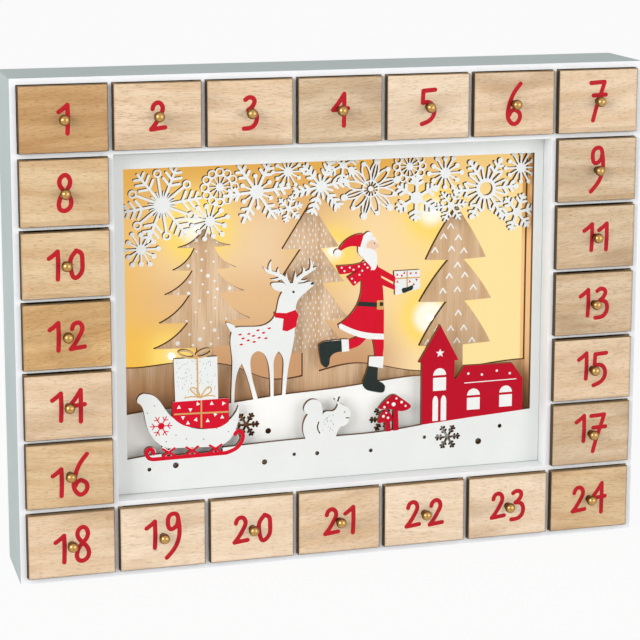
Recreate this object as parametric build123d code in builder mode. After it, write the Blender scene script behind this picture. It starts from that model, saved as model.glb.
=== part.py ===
from build123d import *
from math import hypot, sqrt, atan2, degrees
import os

os.makedirs("parts", exist_ok=True)

# Driving dimensions, in millimetres.
# X runs right, Y away from the viewer and Z up; the origin is under the middle of the case.
case_width = 390.0
case_height = 301.0
case_depth = 52.0
case_board = 3.6
frame_board = 3.0
divider_board = 2.0
columns = 7
rows = 7
rear_board = 2.5
rear_inset = 3.0

# Drawers and their knobs.
drawer_front = 3.5
drawer_wall = 2.5
drawer_side_gap = 0.3
drawer_floor_gap = 0.15
drawer_top_gap = 0.6
drawer_rear_gap = 1.0
front_bevel = 0.35
knob_ball = 3.2
knob_collar_radius = 2.3
knob_collar = 0.8
knob_neck_radius = 1.4
knob_neck = 1.0
knob_pin_radius = 0.9
knob_pin_cover = 0.8
knob_pin_gap = 0.05

# Scene boards behind the window.
scene_recess = 12.0
layer_board = 3.0
layer_gap = 0.2
band_clearance = 1.0
tree_space = 4.0
border_left = 7.6
border_side = 6.0
border_top = 10.0
band_rail = 9.6
spacer_width = 4.8
floor_spacer = 12.0
panel_lift = 3.0

# Lamps and their wire.
bulb_radius = 2.0
bulb_gap = 0.1
bulb_reach = 1.2
bulb_base = 0.6
wire_radius = 0.5
wire_bend = 5.0

# Battery box for two AAA cells, its sliding cover and its switch.
cell_length = 43.6
cell_radius = 5.15
cell_tip = 0.9
cell_tip_radius = 1.8
cell_gap = 0.3
contact_leaf = 0.6
contact_gap = 0.15
box_wall = 1.2
box_floor = 1.0
box_clearance = 0.3
box_height = 17.0
flange = 0.8
flange_rim = 5.0
cover_board = 1.2
cover_gap = 0.12
cover_overlap = 2.0
rail_lip = 0.75
cover_travel = 24.0
switch_length = 12.0
switch_width = 3.0
switch_travel = 4.0
switch_pocket = 2.6
switch_gap = 0.2

# Places that follow from the case and its boards.
front_y = -case_depth / 2
rear_face_y = case_depth / 2 - rear_inset
rear_y = rear_face_y - rear_board
inner_left = -case_width / 2 + case_board
inner_bottom = case_board
inner_top = case_height - case_board
cell_width = (case_width - 2 * case_board - (columns - 1) * divider_board) / columns
cell_height = (case_height - 2 * case_board - (rows - 1) * divider_board) / rows
column_pitch = cell_width + divider_board
row_pitch = cell_height + divider_board


def column_line(count):
    """Middle of the upright board on the right of the given number of columns."""
    return inner_left + count * column_pitch - divider_board / 2


def row_line(count):
    """Middle of the level board above the given number of rows."""
    return inner_bottom + count * row_pitch - divider_board / 2


window_half = column_line(columns - 1) - frame_board / 2
window_floor = row_line(1) + frame_board / 2
window_ceiling = row_line(rows - 1) - frame_board / 2
scene_half = window_half - layer_gap
scene_height = window_ceiling - window_floor - 2 * layer_gap
border_half = scene_half - border_side
inset_half = scene_half - spacer_width - layer_gap

frame_back_y = front_y + scene_recess + layer_board
band_back_y = frame_back_y + layer_board
middle_front_y = band_back_y + band_clearance
middle_back_y = middle_front_y + layer_board
tree_front_y = middle_back_y + tree_space
tree_back_y = tree_front_y + layer_board
bay_depth = 2 * cell_radius + 2 * cell_gap
box_front_y = rear_face_y + flange - bay_depth - box_floor
panel_back_y = box_front_y - box_clearance
panel_front_y = panel_back_y - layer_board


def make_board(x_span, y_span, z_span):
    """One plain board between the given low and high places."""
    size = [high - low for low, high in (x_span, y_span, z_span)]
    middle = tuple((high + low) / 2 for low, high in (x_span, y_span, z_span))
    with BuildPart() as board:
        with Locations(middle):
            Box(*size)
    return board.part


def save(part, name):
    part.label = name
    export_step(part, f"parts/{name}.step")


def save_group(parts, name):
    """Separate solids that belong to one named piece."""
    save(Compound([solid for part in parts for solid in part.solids()]), name)


# Outer case: the sides stand between the top and bottom boards.
case_y = (front_y, case_depth / 2)
case_x = (-case_width / 2, case_width / 2)
save_group(
    [
        make_board(case_x, case_y, (0, case_board)),
        make_board(case_x, case_y, (inner_top, case_height)),
        make_board((-case_width / 2, inner_left), case_y, (inner_bottom, inner_top)),
        make_board((-inner_left, case_width / 2), case_y, (inner_bottom, inner_top)),
    ],
    "outer_case",
)

# Dividers: two long shelves and two uprights frame the window, and short boards part the drawers.
divider_y = (front_y, rear_y)
dividers = []
for line in (row_line(1), row_line(rows - 1)):
    shelf_z = (line - frame_board / 2, line + frame_board / 2)
    dividers.append(make_board((inner_left, -inner_left), divider_y, shelf_z))
for side in (-1, 1):
    upright_x = sorted((side * window_half, side * (window_half + frame_board)))
    dividers.append(make_board(upright_x, divider_y, (window_floor, window_ceiling)))
    ledge_x = sorted((side * (window_half + frame_board), side * -inner_left))
    for count in range(2, rows - 1):
        ledge_z = (row_line(count) - divider_board / 2, row_line(count) + divider_board / 2)
        dividers.append(make_board(ledge_x, divider_y, ledge_z))
for count in range(1, columns):
    wall_x = (column_line(count) - divider_board / 2, column_line(count) + divider_board / 2)
    dividers.append(make_board(wall_x, divider_y, (inner_bottom, window_floor - frame_board)))
    dividers.append(make_board(wall_x, divider_y, (window_ceiling + frame_board, inner_top)))
save_group(dividers, "dividers")

# Drawers: every one has the same size, and sits in the middle of its own cell.
frame_excess = (frame_board - divider_board) / 2
drawer_width = cell_width - frame_excess - 2 * drawer_side_gap
drawer_height = cell_height - frame_excess - drawer_floor_gap - drawer_top_gap
tray_y = (front_y, rear_y - drawer_rear_gap)
ball_y = -(knob_collar + knob_neck + sqrt(knob_ball**2 - knob_neck_radius**2))
knob_pin = drawer_front - knob_pin_cover


def drawer_places():
    """Number, middle X and floor Z of each drawer: top row, side columns, then bottom row."""
    ring = [(column, rows - 1) for column in range(columns)]
    for row in range(rows - 2, 0, -1):
        ring += [(0, row), (columns - 1, row)]
    ring += [(column, 0) for column in range(columns)]
    places = []
    for number, (column, row) in enumerate(ring, start=1):
        middle_x = inner_left + column * column_pitch + cell_width / 2
        floor_z = inner_bottom + row * row_pitch + drawer_floor_gap
        if 0 < row < rows - 1:
            middle_x += frame_excess / 2 if column else -frame_excess / 2
        if row in (1, rows - 1):
            floor_z += frame_excess
        places.append((number, middle_x, floor_z))
    return places


def make_drawer(middle_x, floor_z):
    """A bevelled front board and a tray of four thin boards glued behind it."""
    left, right = middle_x - drawer_width / 2, middle_x + drawer_width / 2
    top_z = floor_z + drawer_height
    seat = Plane((middle_x, front_y - drawer_front, floor_z + drawer_height / 2), z_dir=(0, -1, 0))
    with BuildPart() as front:
        with Locations((middle_x, front_y - drawer_front / 2, floor_z + drawer_height / 2)):
            Box(drawer_width, drawer_front, drawer_height)
        chamfer(front.faces().sort_by(Axis.Y)[0].edges(), front_bevel)
        with Locations(seat):
            Hole(knob_pin_radius + knob_pin_gap, knob_pin + knob_pin_gap)
    wall_z = (floor_z + drawer_wall, top_z)
    back_y = (tray_y[1] - drawer_wall, tray_y[1])
    return [
        front.part,
        make_board((left, right), tray_y, (floor_z, floor_z + drawer_wall)),
        make_board((left, left + drawer_wall), tray_y, wall_z),
        make_board((right - drawer_wall, right), tray_y, wall_z),
        make_board((left + drawer_wall, right - drawer_wall), back_y, wall_z),
    ]


def make_knob(middle_x, middle_z):
    """A turned ball on a neck and collar, with a pin that goes into the drawer front."""
    seat_y = front_y - drawer_front
    neck_y = -(knob_collar + knob_neck)
    with BuildPart() as knob:
        with BuildSketch(Plane((middle_x, seat_y, middle_z), x_dir=(1, 0, 0), z_dir=(0, 0, 1))):
            with BuildLine():
                Polyline(
                    (0, knob_pin),
                    (knob_pin_radius, knob_pin),
                    (knob_pin_radius, 0),
                    (knob_collar_radius, 0),
                    (knob_collar_radius, -knob_collar),
                    (knob_neck_radius, -knob_collar),
                    (knob_neck_radius, neck_y),
                )
                ThreePointArc((knob_neck_radius, neck_y), (knob_ball, ball_y), (0, ball_y - knob_ball))
                Line((0, ball_y - knob_ball), (0, knob_pin))
            make_face()
        revolve(axis=Axis((middle_x, seat_y, middle_z), (0, 1, 0)))
    return knob.part


for number, middle_x, floor_z in drawer_places():
    save_group(make_drawer(middle_x, floor_z), f"drawer_{number:02d}")
    save(make_knob(middle_x, floor_z + drawer_height / 2), f"knob_{number:02d}")


def scene_plane(back_y, height=0):
    """Sketch plane of a scene board, facing the viewer, with its origin on the board's foot."""
    origin = (0, back_y, window_floor + layer_gap + height)
    return Plane(origin, x_dir=(1, 0, 0), z_dir=(0, -1, 0))


def smooth_shape(*points):
    """Face inside one smooth closed curve through the points."""
    with BuildLine() as outline:
        Spline(*points, periodic=True)
    make_face(outline.edges())


def straight_shape(*points):
    """Face inside straight sides."""
    Polygon(*points, align=None)


def stroke(width, *points, mode=Mode.ADD):
    """Round-ended strokes of one width from point to point."""
    for (x1, y1), (x2, y2) in zip(points, points[1:]):
        turn = degrees(atan2(y2 - y1, x2 - x1))
        with Locations(Location(((x1 + x2) / 2, (y1 + y2) / 2), turn)):
            SlotCenterToCenter(hypot(x2 - x1, y2 - y1), width, mode=mode)


def curl(width, *points):
    """Round-ended stroke of one width along a smooth curve through the points."""
    with BuildLine() as path:
        Spline(*points)
    trace(path.edges(), line_width=width)
    with Locations(points[0], points[-1]):
        Circle(width / 2)


def tine(width, *points):
    """Curved prong along the points, that narrows from its root to a sharp tip."""
    (x1, y1), (x2, y2) = points[0], points[-1]
    length = hypot(x2 - x1, y2 - y1)
    across = ((y1 - y2) / length, (x2 - x1) / length)
    sides = []
    for side in (-1, 1):
        flank = []
        for index, (x, y) in enumerate(points[:-1]):
            half = side * width / 2 * (1 - 0.6 * index / (len(points) - 1))
            flank.append((x + half * across[0], y + half * across[1]))
        sides.append(flank + [points[-1]])
    with BuildLine() as outline:
        Spline(*sides[0])
        Spline(*reversed(sides[1]))
        Line(sides[1][0], sides[0][0])
    make_face(outline.edges())


def hill(half, *heights):
    """Snow hill as wide as its board: a smooth top edge through evenly spaced heights."""
    step = 2 * half / (len(heights) - 1)
    ridge = [(-half + index * step, height) for index, height in enumerate(heights)]
    with BuildLine() as outline:
        Spline(*ridge)
        Polyline(ridge[-1], (half, 0), (-half, 0), ridge[0])
    make_face(outline.edges())


# Snowflakes, each about its own middle.
def star_flake(radius, bar, hub, *branches):
    """Six arms with pairs of slanted branches, given as place and length."""
    with BuildSketch() as flake:
        Circle(hub)
        with PolarLocations(radius / 2, 6):
            SlotOverall(radius, bar)
        for place, length in branches:
            for slant in (60, -60):
                with PolarLocations(place, 6):
                    with Locations(Location((0, 0), slant)):
                        with Locations((length / 2, 0)):
                            SlotOverall(length, bar)
    return flake.sketch


def burst_flake(radius, dot, bar, hub):
    """Twelve spokes that end in dots, every other spoke a little shorter."""
    with BuildSketch() as flake:
        Circle(hub)
        for reach, turn in ((radius, 0), (radius * 0.86, 30)):
            with PolarLocations(reach / 2, 6, start_angle=turn):
                Rectangle(reach - dot, bar)
            with PolarLocations(reach - dot, 6, start_angle=turn):
                Circle(dot)
    return flake.sketch


def wheel_flake(radius, bar, hub):
    """Hub, spokes, a ring and a row of small round petals outside it."""
    petal = radius * 0.22
    ring = radius - 2 * petal + bar
    with BuildSketch() as flake:
        with PolarLocations(radius - petal, 12):
            Circle(petal)
        Circle(ring)
        with PolarLocations(radius - petal, 12):
            Circle(petal - bar, mode=Mode.SUBTRACT)
        Circle(ring - bar, mode=Mode.SUBTRACT)
        Circle(hub)
        with PolarLocations(ring / 2, 12):
            Rectangle(ring - bar / 2, bar * 0.8)
    return flake.sketch


def ring_flake(radius, bar, ring):
    """Branched arms that end in dots round a thick open ring, with two short spokes between each pair."""
    spoke = radius * 0.68
    with BuildSketch() as flake:
        inner_fork = (radius * 0.56, radius * 0.26)
        outer_fork = (radius * 0.76, radius * 0.2)
        add(star_flake(radius, bar, ring + bar * 1.3, inner_fork, outer_fork))
        with PolarLocations(radius - bar / 2, 6):
            Circle(bar)
        for turn in (20, 40):
            with PolarLocations((ring + spoke) / 2, 6, start_angle=turn):
                SlotOverall(spoke - ring, bar * 0.8)
        Circle(ring, mode=Mode.SUBTRACT)
    return flake.sketch


def ring_tip_flake(radius, bar, hub):
    """Branched arms, with spokes between them that end in small rings."""
    tip = bar * 1.7
    spoke = radius * 0.78
    with BuildSketch() as flake:
        add(
            star_flake(
                radius,
                bar,
                hub,
                (radius * 0.5, radius * 0.28),
                (radius * 0.66, radius * 0.26),
                (radius * 0.82, radius * 0.2),
            )
        )
        with PolarLocations(radius * 0.17, 12, start_angle=15):
            SlotOverall(radius * 0.34, bar * 0.5)
        with PolarLocations(spoke / 2, 6, start_angle=30):
            SlotOverall(spoke - tip, bar)
        with PolarLocations(spoke, 6, start_angle=30):
            Circle(tip)
        with PolarLocations(spoke, 6, start_angle=30):
            Circle(tip - bar * 0.75, mode=Mode.SUBTRACT)
    return flake.sketch


def leaf_flake(radius, bar, hub):
    """Six stems with three pairs of leaves, like fern fronds."""
    with BuildSketch() as flake:
        Circle(hub)
        with PolarLocations(radius / 2, 6):
            SlotOverall(radius, bar)
        for place in (radius * 0.4, radius * 0.6, radius * 0.8):
            for slant in (48, -48):
                with PolarLocations(place, 6):
                    with Locations(Location((0, 0), slant)):
                        with Locations((radius * 0.12, 0)):
                            Ellipse(radius * 0.15, bar * 0.62)
        with PolarLocations(radius * 0.22, 6, start_angle=30):
            SlotOverall(radius * 0.44, bar)
    return flake.sketch


def lattice_flake(radius, bar, hub):
    """Long open petals round a small pierced rosette, with large and small dots at the tips."""
    petal = radius * 0.36
    with BuildSketch() as flake:
        for reach, width, turn in ((radius * 0.56, petal * 0.42, 0), (radius * 0.52, petal * 0.44, 30)):
            with PolarLocations(reach, 6, start_angle=turn):
                Ellipse(petal, width)
            with PolarLocations(reach, 6, start_angle=turn):
                Ellipse(petal - bar, width - bar, mode=Mode.SUBTRACT)
        with PolarLocations(radius / 2, 6):
            Rectangle(radius, bar * 0.8)
        with PolarLocations(radius - bar, 6):
            Circle(bar * 1.9)
        with PolarLocations(radius * 0.86, 6, start_angle=30):
            Circle(bar * 1.4)
        Circle(radius * 0.29)
        with PolarLocations((hub + radius * 0.25) / 2, 12):
            SlotOverall(radius * 0.25 - hub, bar, mode=Mode.SUBTRACT)
    return flake.sketch


def knob_flake(radius, bar, hub, *branches):
    """Branched arms, with short spokes between them that end in dots."""
    spoke = radius * 0.46
    with BuildSketch() as flake:
        add(star_flake(radius, bar, hub, *branches))
        with PolarLocations(spoke / 2, 6, start_angle=30):
            Rectangle(spoke, bar * 0.6)
        with PolarLocations(spoke, 6, start_angle=30):
            Circle(bar * 0.75)
    return flake.sketch


# Snowflake band: flakes hang from a rail that is glued behind the top border.
band_flakes = [
    (-0.805, -32.8, 8, ring_tip_flake(24.5, 1.5, 3.4)),
    (-0.905, -59.0, 0, burst_flake(12.0, 1.5, 1.1, 3.0)),
    (-0.582, -44.0, 12, burst_flake(12.5, 1.5, 1.1, 3.0)),
    (-0.535, -23.6, 0, wheel_flake(11.8, 0.9, 2.4)),
    (-0.360, -27.4, 5, knob_flake(21.0, 1.8, 4.2, (11.0, 5.0), (15.0, 4.6))),
    (-0.210, -16.0, 0, burst_flake(10.5, 1.2, 1.0, 2.8)),
    (-0.206, -38.6, 15, star_flake(9.0, 1.3, 1.8, (4.2, 2.8), (6.4, 2.2))),
    (-0.050, -26.0, 10, leaf_flake(18.0, 1.6, 3.2)),
    (0.055, -13.5, 25, star_flake(11.5, 1.3, 2.2, (5.6, 4.0), (8.0, 3.0))),
    (0.190, -28.6, 16, lattice_flake(18.5, 1.1, 1.6)),
    (0.382, -15.9, 0, wheel_flake(10.8, 0.9, 2.2)),
    (0.417, -35.5, 28, star_flake(15.0, 1.9, 3.8, (8.0, 5.0), (11.2, 3.8))),
    (0.560, -20.9, 0, burst_flake(12.0, 1.5, 1.2, 3.2)),
    (0.590, -41.5, 5, star_flake(11.0, 1.3, 2.4, (4.6, 3.6), (7.4, 2.8))),
    (0.766, -31.8, 2, ring_flake(20.5, 1.7, 4.2)),
    (0.942, -19.6, 0, burst_flake(11.5, 1.3, 1.1, 3.0)),
    (0.925, -47.5, 10, star_flake(12.5, 1.7, 2.8, (6.4, 4.4), (9.4, 3.0))),
]
with BuildPart() as snow_band:
    with BuildSketch(scene_plane(band_back_y, scene_height)):
        with Locations((0, -band_rail / 2)):
            Rectangle(2 * inset_half, band_rail)
        for share, drop, turn, flake in band_flakes:
            add(flake.moved(Location((share * border_half, drop), turn)))
        with Locations((inset_half, -scene_height)):
            Rectangle(spacer_width, scene_height, align=Align.MIN, mode=Mode.SUBTRACT)
    extrude(amount=layer_board)
save(snow_band.part, "snow_band")

# Front board: white border and hill, with sleigh, squirrel, toadstools and church cut from the same board.
sleigh_x = -0.688 * border_half
squirrel_x = -0.030 * border_half
toadstool_x = 0.300 * border_half
church_x = 0.444 * border_half
hill_holes = [
    (-0.885, 14.2, 1.2),
    (-0.760, 15.6, 1.8),
    (-0.334, 13.2, 1.7),
    (-0.189, 16.6, 1.1),
    (-0.076, 16.1, 1.3),
    (0.190, 15.1, 1.2),
    (0.460, 20.9, 1.1),
    (0.735, 15.5, 2.0),
    (0.845, 24.4, 1.3),
]
front_flake_cut = (0.577, 20.0)
cut_flake = star_flake(8.4, 1.5, 1.8, (3.9, 2.2), (6.0, 2.3))
runner_struts = (-13.6, 0.9, 15.4)
runner_gap = ((-18.0, 19.8), (21.4, 26.2))


def sleigh():
    """Swept body with a curled prow, a runner curled at both ends on crossed struts, and two gifts."""
    with BuildLine() as body:
        Spline((-32.3, 56.2), (-30.2, 54.6), (-28.7, 51.2), (-27.2, 43.0), (-23.4, 34.1), (-14.0, 26.6))
        Line((-14.0, 26.6), (13.5, 25.4))
        Spline((13.5, 25.4), (25.0, 30.0), (29.2, 38.6), (29.8, 50.0))
        Spline((29.8, 50.0), (25.4, 42.6), (18.5, 38.4), (4.0, 37.4), (-6.0, 41.6), (-12.8, 47.4))
        Spline((-12.8, 47.4), (-17.0, 53.6), (-21.0, 58.8), (-26.5, 61.2))
        ThreePointArc((-26.5, 61.2), (-31.4, 60.0), (-32.3, 56.2))
    make_face(body.edges())
    for strut in runner_struts:
        for side in (-1, 1):
            stroke(1.4, (strut - 3.4, 24.2 - side * 3.0), (strut + 3.4, 24.2 + side * 3.0))
    curl(2.5, (-22.8, 24.0), (-24.2, 26.7), (-26.4, 26.2), (-27.0, 23.4), (-25.4, 21.1), (-21.0, 20.4))
    stroke(2.5, (-21.0, 20.4), (22.0, 20.9))
    curl(2.5, (22.0, 20.9), (28.6, 23.6), (32.2, 28.8), (32.0, 32.6), (29.4, 34.0), (27.6, 32.2))
    straight_shape((-11.0, 39.0), (23.8, 39.0), (23.8, 55.2), (-11.0, 55.2))
    straight_shape((-9.2, 55.0), (17.2, 55.0), (16.8, 81.6), (-10.0, 81.6))
    with Locations((3.4, 82.0)):
        Circle(1.4)
    for side in (-1, 1):
        with Locations(Location((3.4 + side * 5.2, 84.0), side * 18)):
            Ellipse(5.4, 2.5)
            Ellipse(4.2, 1.3, mode=Mode.SUBTRACT)


def squirrel():
    """Sitting squirrel with a raised tail, looking right."""
    with BuildLine() as tail:
        Spline((-11.4, 22.5), (-14.4, 28.5), (-14.9, 34.0), (-11.8, 41.2))
        Spline((-11.8, 41.2), (-14.4, 44.2), (-12.6, 48.6), (-8.4, 50.4))
        Spline((-8.4, 50.4), (-4.2, 48.4), (-2.6, 43.6), (-2.6, 40.0))
        Polyline((-2.6, 40.0), (-2.6, 22.5), (-11.4, 22.5))
    make_face(tail.edges())
    with BuildLine() as body:
        Spline((-2.8, 39.4), (0.2, 42.2), (4.4, 42.2), (6.7, 44.4), (7.0, 48.0))
        Spline((7.0, 48.0), (10.2, 45.9), (13.8, 43.4), (15.4, 39.8), (14.9, 36.8), (12.4, 32.8), (9.2, 32.0))
        Spline((9.2, 32.0), (7.2, 29.0), (5.6, 22.5))
        Polyline((5.6, 22.5), (-2.8, 22.5), (-2.8, 39.4))
    make_face(body.edges())
    stroke(0.9, (7.4, 46.6), (5.5, 49.2))
    stroke(0.9, (7.6, 46.6), (8.8, 50.0))
    stroke(0.8, (-5.0, 35.8), (-5.8, 33.4), (-5.6, 31.2), (-4.4, 28.8), mode=Mode.SUBTRACT)
    stroke(0.7, (12.6, 37.2), (16.0, 37.0), mode=Mode.SUBTRACT)


def toadstools():
    """A tall toadstool and a short one leaning on it."""
    straight_shape((0.2, 23.5), (3.8, 23.5), (3.2, 42.0), (0.4, 42.0))
    tall_cap = [(-9.2, 41.6), (-5.2, 46.2), (0.8, 49.6), (6.8, 46.0), (11.6, 41.0), (7.6, 39.0), (-3.0, 40.8)]
    smooth_shape(*tall_cap)
    straight_shape((-4.8, 23.5), (-1.4, 23.5), (-2.0, 35.0), (-5.0, 35.0))
    smooth_shape((-9.4, 32.2), (-8.2, 37.2), (-5.0, 40.4), (-1.2, 37.4), (-0.2, 33.4), (-5.0, 32.8))


def church():
    """Tower with a steep roof beside a low nave."""
    straight_shape(
        (0.0, 22.0),
        (0.0, 69.0),
        (-2.0, 69.0),
        (11.8, 92.3),
        (24.0, 69.0),
        (21.4, 69.0),
        (21.4, 57.0),
        (22.8, 57.0),
        (28.0, 65.0),
        (59.8, 64.7),
        (66.9, 54.4),
        (66.9, 28.0),
    )


with BuildPart() as front_frame:
    with BuildSketch(scene_plane(frame_back_y)):
        with Locations((0, scene_height / 2)):
            Rectangle(2 * scene_half, scene_height)
        with Locations(((border_left - border_side) / 2, scene_height / 2)):
            opening_width = 2 * scene_half - border_left - border_side
            Rectangle(opening_width, scene_height - 2 * border_top, mode=Mode.SUBTRACT)
        hill(scene_half, 20.2, 23.6, 24.4, 25.6, 25.9, 26.6, 29.9, 32.4, 34.6)
        with Locations((sleigh_x + sum(runner_gap[0]) / 2, sum(runner_gap[1]) / 2)):
            gap_width, gap_height = (high - low for low, high in runner_gap)
            Rectangle(gap_width, gap_height, mode=Mode.SUBTRACT)
        for place, motif in (
            (sleigh_x, sleigh),
            (squirrel_x, squirrel),
            (toadstool_x, toadstools),
            (church_x, church),
        ):
            with BuildSketch(Plane.XY, mode=Mode.PRIVATE) as shape:
                motif()
            with Locations((place, 0)):
                add(shape.sketch)
        for share, height, radius in hill_holes:
            with Locations((share * border_half, height)):
                Circle(radius, mode=Mode.SUBTRACT)
        with Locations((front_flake_cut[0] * border_half, front_flake_cut[1])):
            add(cut_flake, mode=Mode.SUBTRACT)
    extrude(amount=layer_board)
save(front_frame.part, "front_frame")

# Middle board: second hill with the reindeer and the striding gift-bringer.
deer_x = -0.275 * border_half
bringer_x = 0.190 * border_half
middle_holes = [(-0.302, 30.6, 1.8)]
middle_flake_cuts = [(-0.409, 35.6), (0.262, 32.6)]


def reindeer():
    """Standing reindeer looking right, with a scarf and branched antlers."""
    with BuildLine() as body:
        Spline((-24.4, 96.8), (-13.0, 96.8), (-4.0, 98.0), (0.6, 102.2), (2.8, 110.0), (6.0, 117.6))
        Spline((6.0, 117.6), (10.6, 122.4), (18.5, 122.0), (24.6, 122.5), (25.7, 121.0))
        Spline((25.7, 121.0), (22.8, 118.2), (17.8, 114.2), (14.9, 110.4), (14.0, 104.0), (13.4, 93.2))
        Spline((13.4, 93.2), (12.2, 82.7), (10.1, 73.8), (8.2, 60.0), (7.5, 52.0), (7.2, 45.0))
        Line((7.2, 45.0), (5.1, 45.0))
        Spline((5.1, 45.0), (5.5, 56.0), (6.1, 67.0), (5.8, 76.4), (3.3, 80.4))
        Spline((3.3, 80.4), (0.8, 76.8), (0.1, 67.5), (0.0, 56.0), (0.2, 45.0))
        Line((0.2, 45.0), (-1.9, 45.0))
        Spline((-1.9, 45.0), (-2.0, 55.0), (-2.3, 65.0), (-3.7, 74.8), (-6.4, 79.8), (-10.4, 81.4))
        Spline((-10.4, 81.4), (-13.7, 78.6), (-14.4, 71.0), (-13.2, 63.6), (-10.8, 54.3), (-8.4, 45.0))
        Line((-8.4, 45.0), (-11.2, 45.0))
        Spline((-11.2, 45.0), (-13.9, 55.6), (-16.7, 65.8), (-20.0, 74.2))
        Spline((-20.0, 74.2), (-22.8, 68.6), (-24.3, 60.0), (-24.7, 52.0), (-24.7, 45.0))
        Line((-24.7, 45.0), (-26.7, 45.0))
        Spline((-26.7, 45.0), (-26.6, 54.0), (-26.2, 64.0), (-25.8, 75.0))
        Spline((-25.8, 75.0), (-26.8, 86.0), (-26.0, 94.0), (-24.4, 96.8))
    make_face(body.edges())
    smooth_shape((-24.8, 93.4), (-28.2, 97.0), (-29.2, 100.4), (-27.0, 99.8), (-23.8, 96.4))
    smooth_shape((6.6, 117.2), (2.8, 118.2), (-0.4, 120.2), (-1.4, 122.6), (2.6, 123.4), (8.0, 120.8))
    scarf_wrap = [(0.6, 104.8), (8.0, 104.0), (14.0, 105.7), (15.8, 102.4), (15.1, 98.8)]
    scarf_end = [(14.4, 95.2), (8.7, 92.6), (1.0, 101.8)]
    straight_shape(*scarf_wrap, *scarf_end)
    tine(3.4, (9.8, 120.6), (7.2, 125.0), (2.6, 128.4), (-2.6, 130.4), (-6.2, 133.7))
    tine(2.2, (-1.2, 129.4), (-2.2, 133.4), (-0.8, 137.5))
    tine(2.2, (4.4, 126.8), (3.0, 129.8), (3.4, 132.6))
    tine(2.6, (9.8, 120.6), (8.3, 125.0), (8.4, 129.2))
    tine(1.8, (5.6, 126.4), (1.8, 125.3), (-1.8, 125.7))
    tine(3.4, (13.2, 120.6), (15.6, 124.6), (19.4, 127.6), (23.8, 129.8), (27.4, 132.0))
    tine(2.2, (23.0, 128.8), (24.2, 133.0), (23.0, 137.0))
    tine(2.2, (18.4, 126.4), (19.4, 129.6), (18.4, 132.4))
    tine(2.6, (13.2, 120.6), (13.8, 125.2), (13.8, 129.5))
    tine(1.8, (15.4, 123.8), (18.4, 123.3), (21.6, 124.4))


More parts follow.
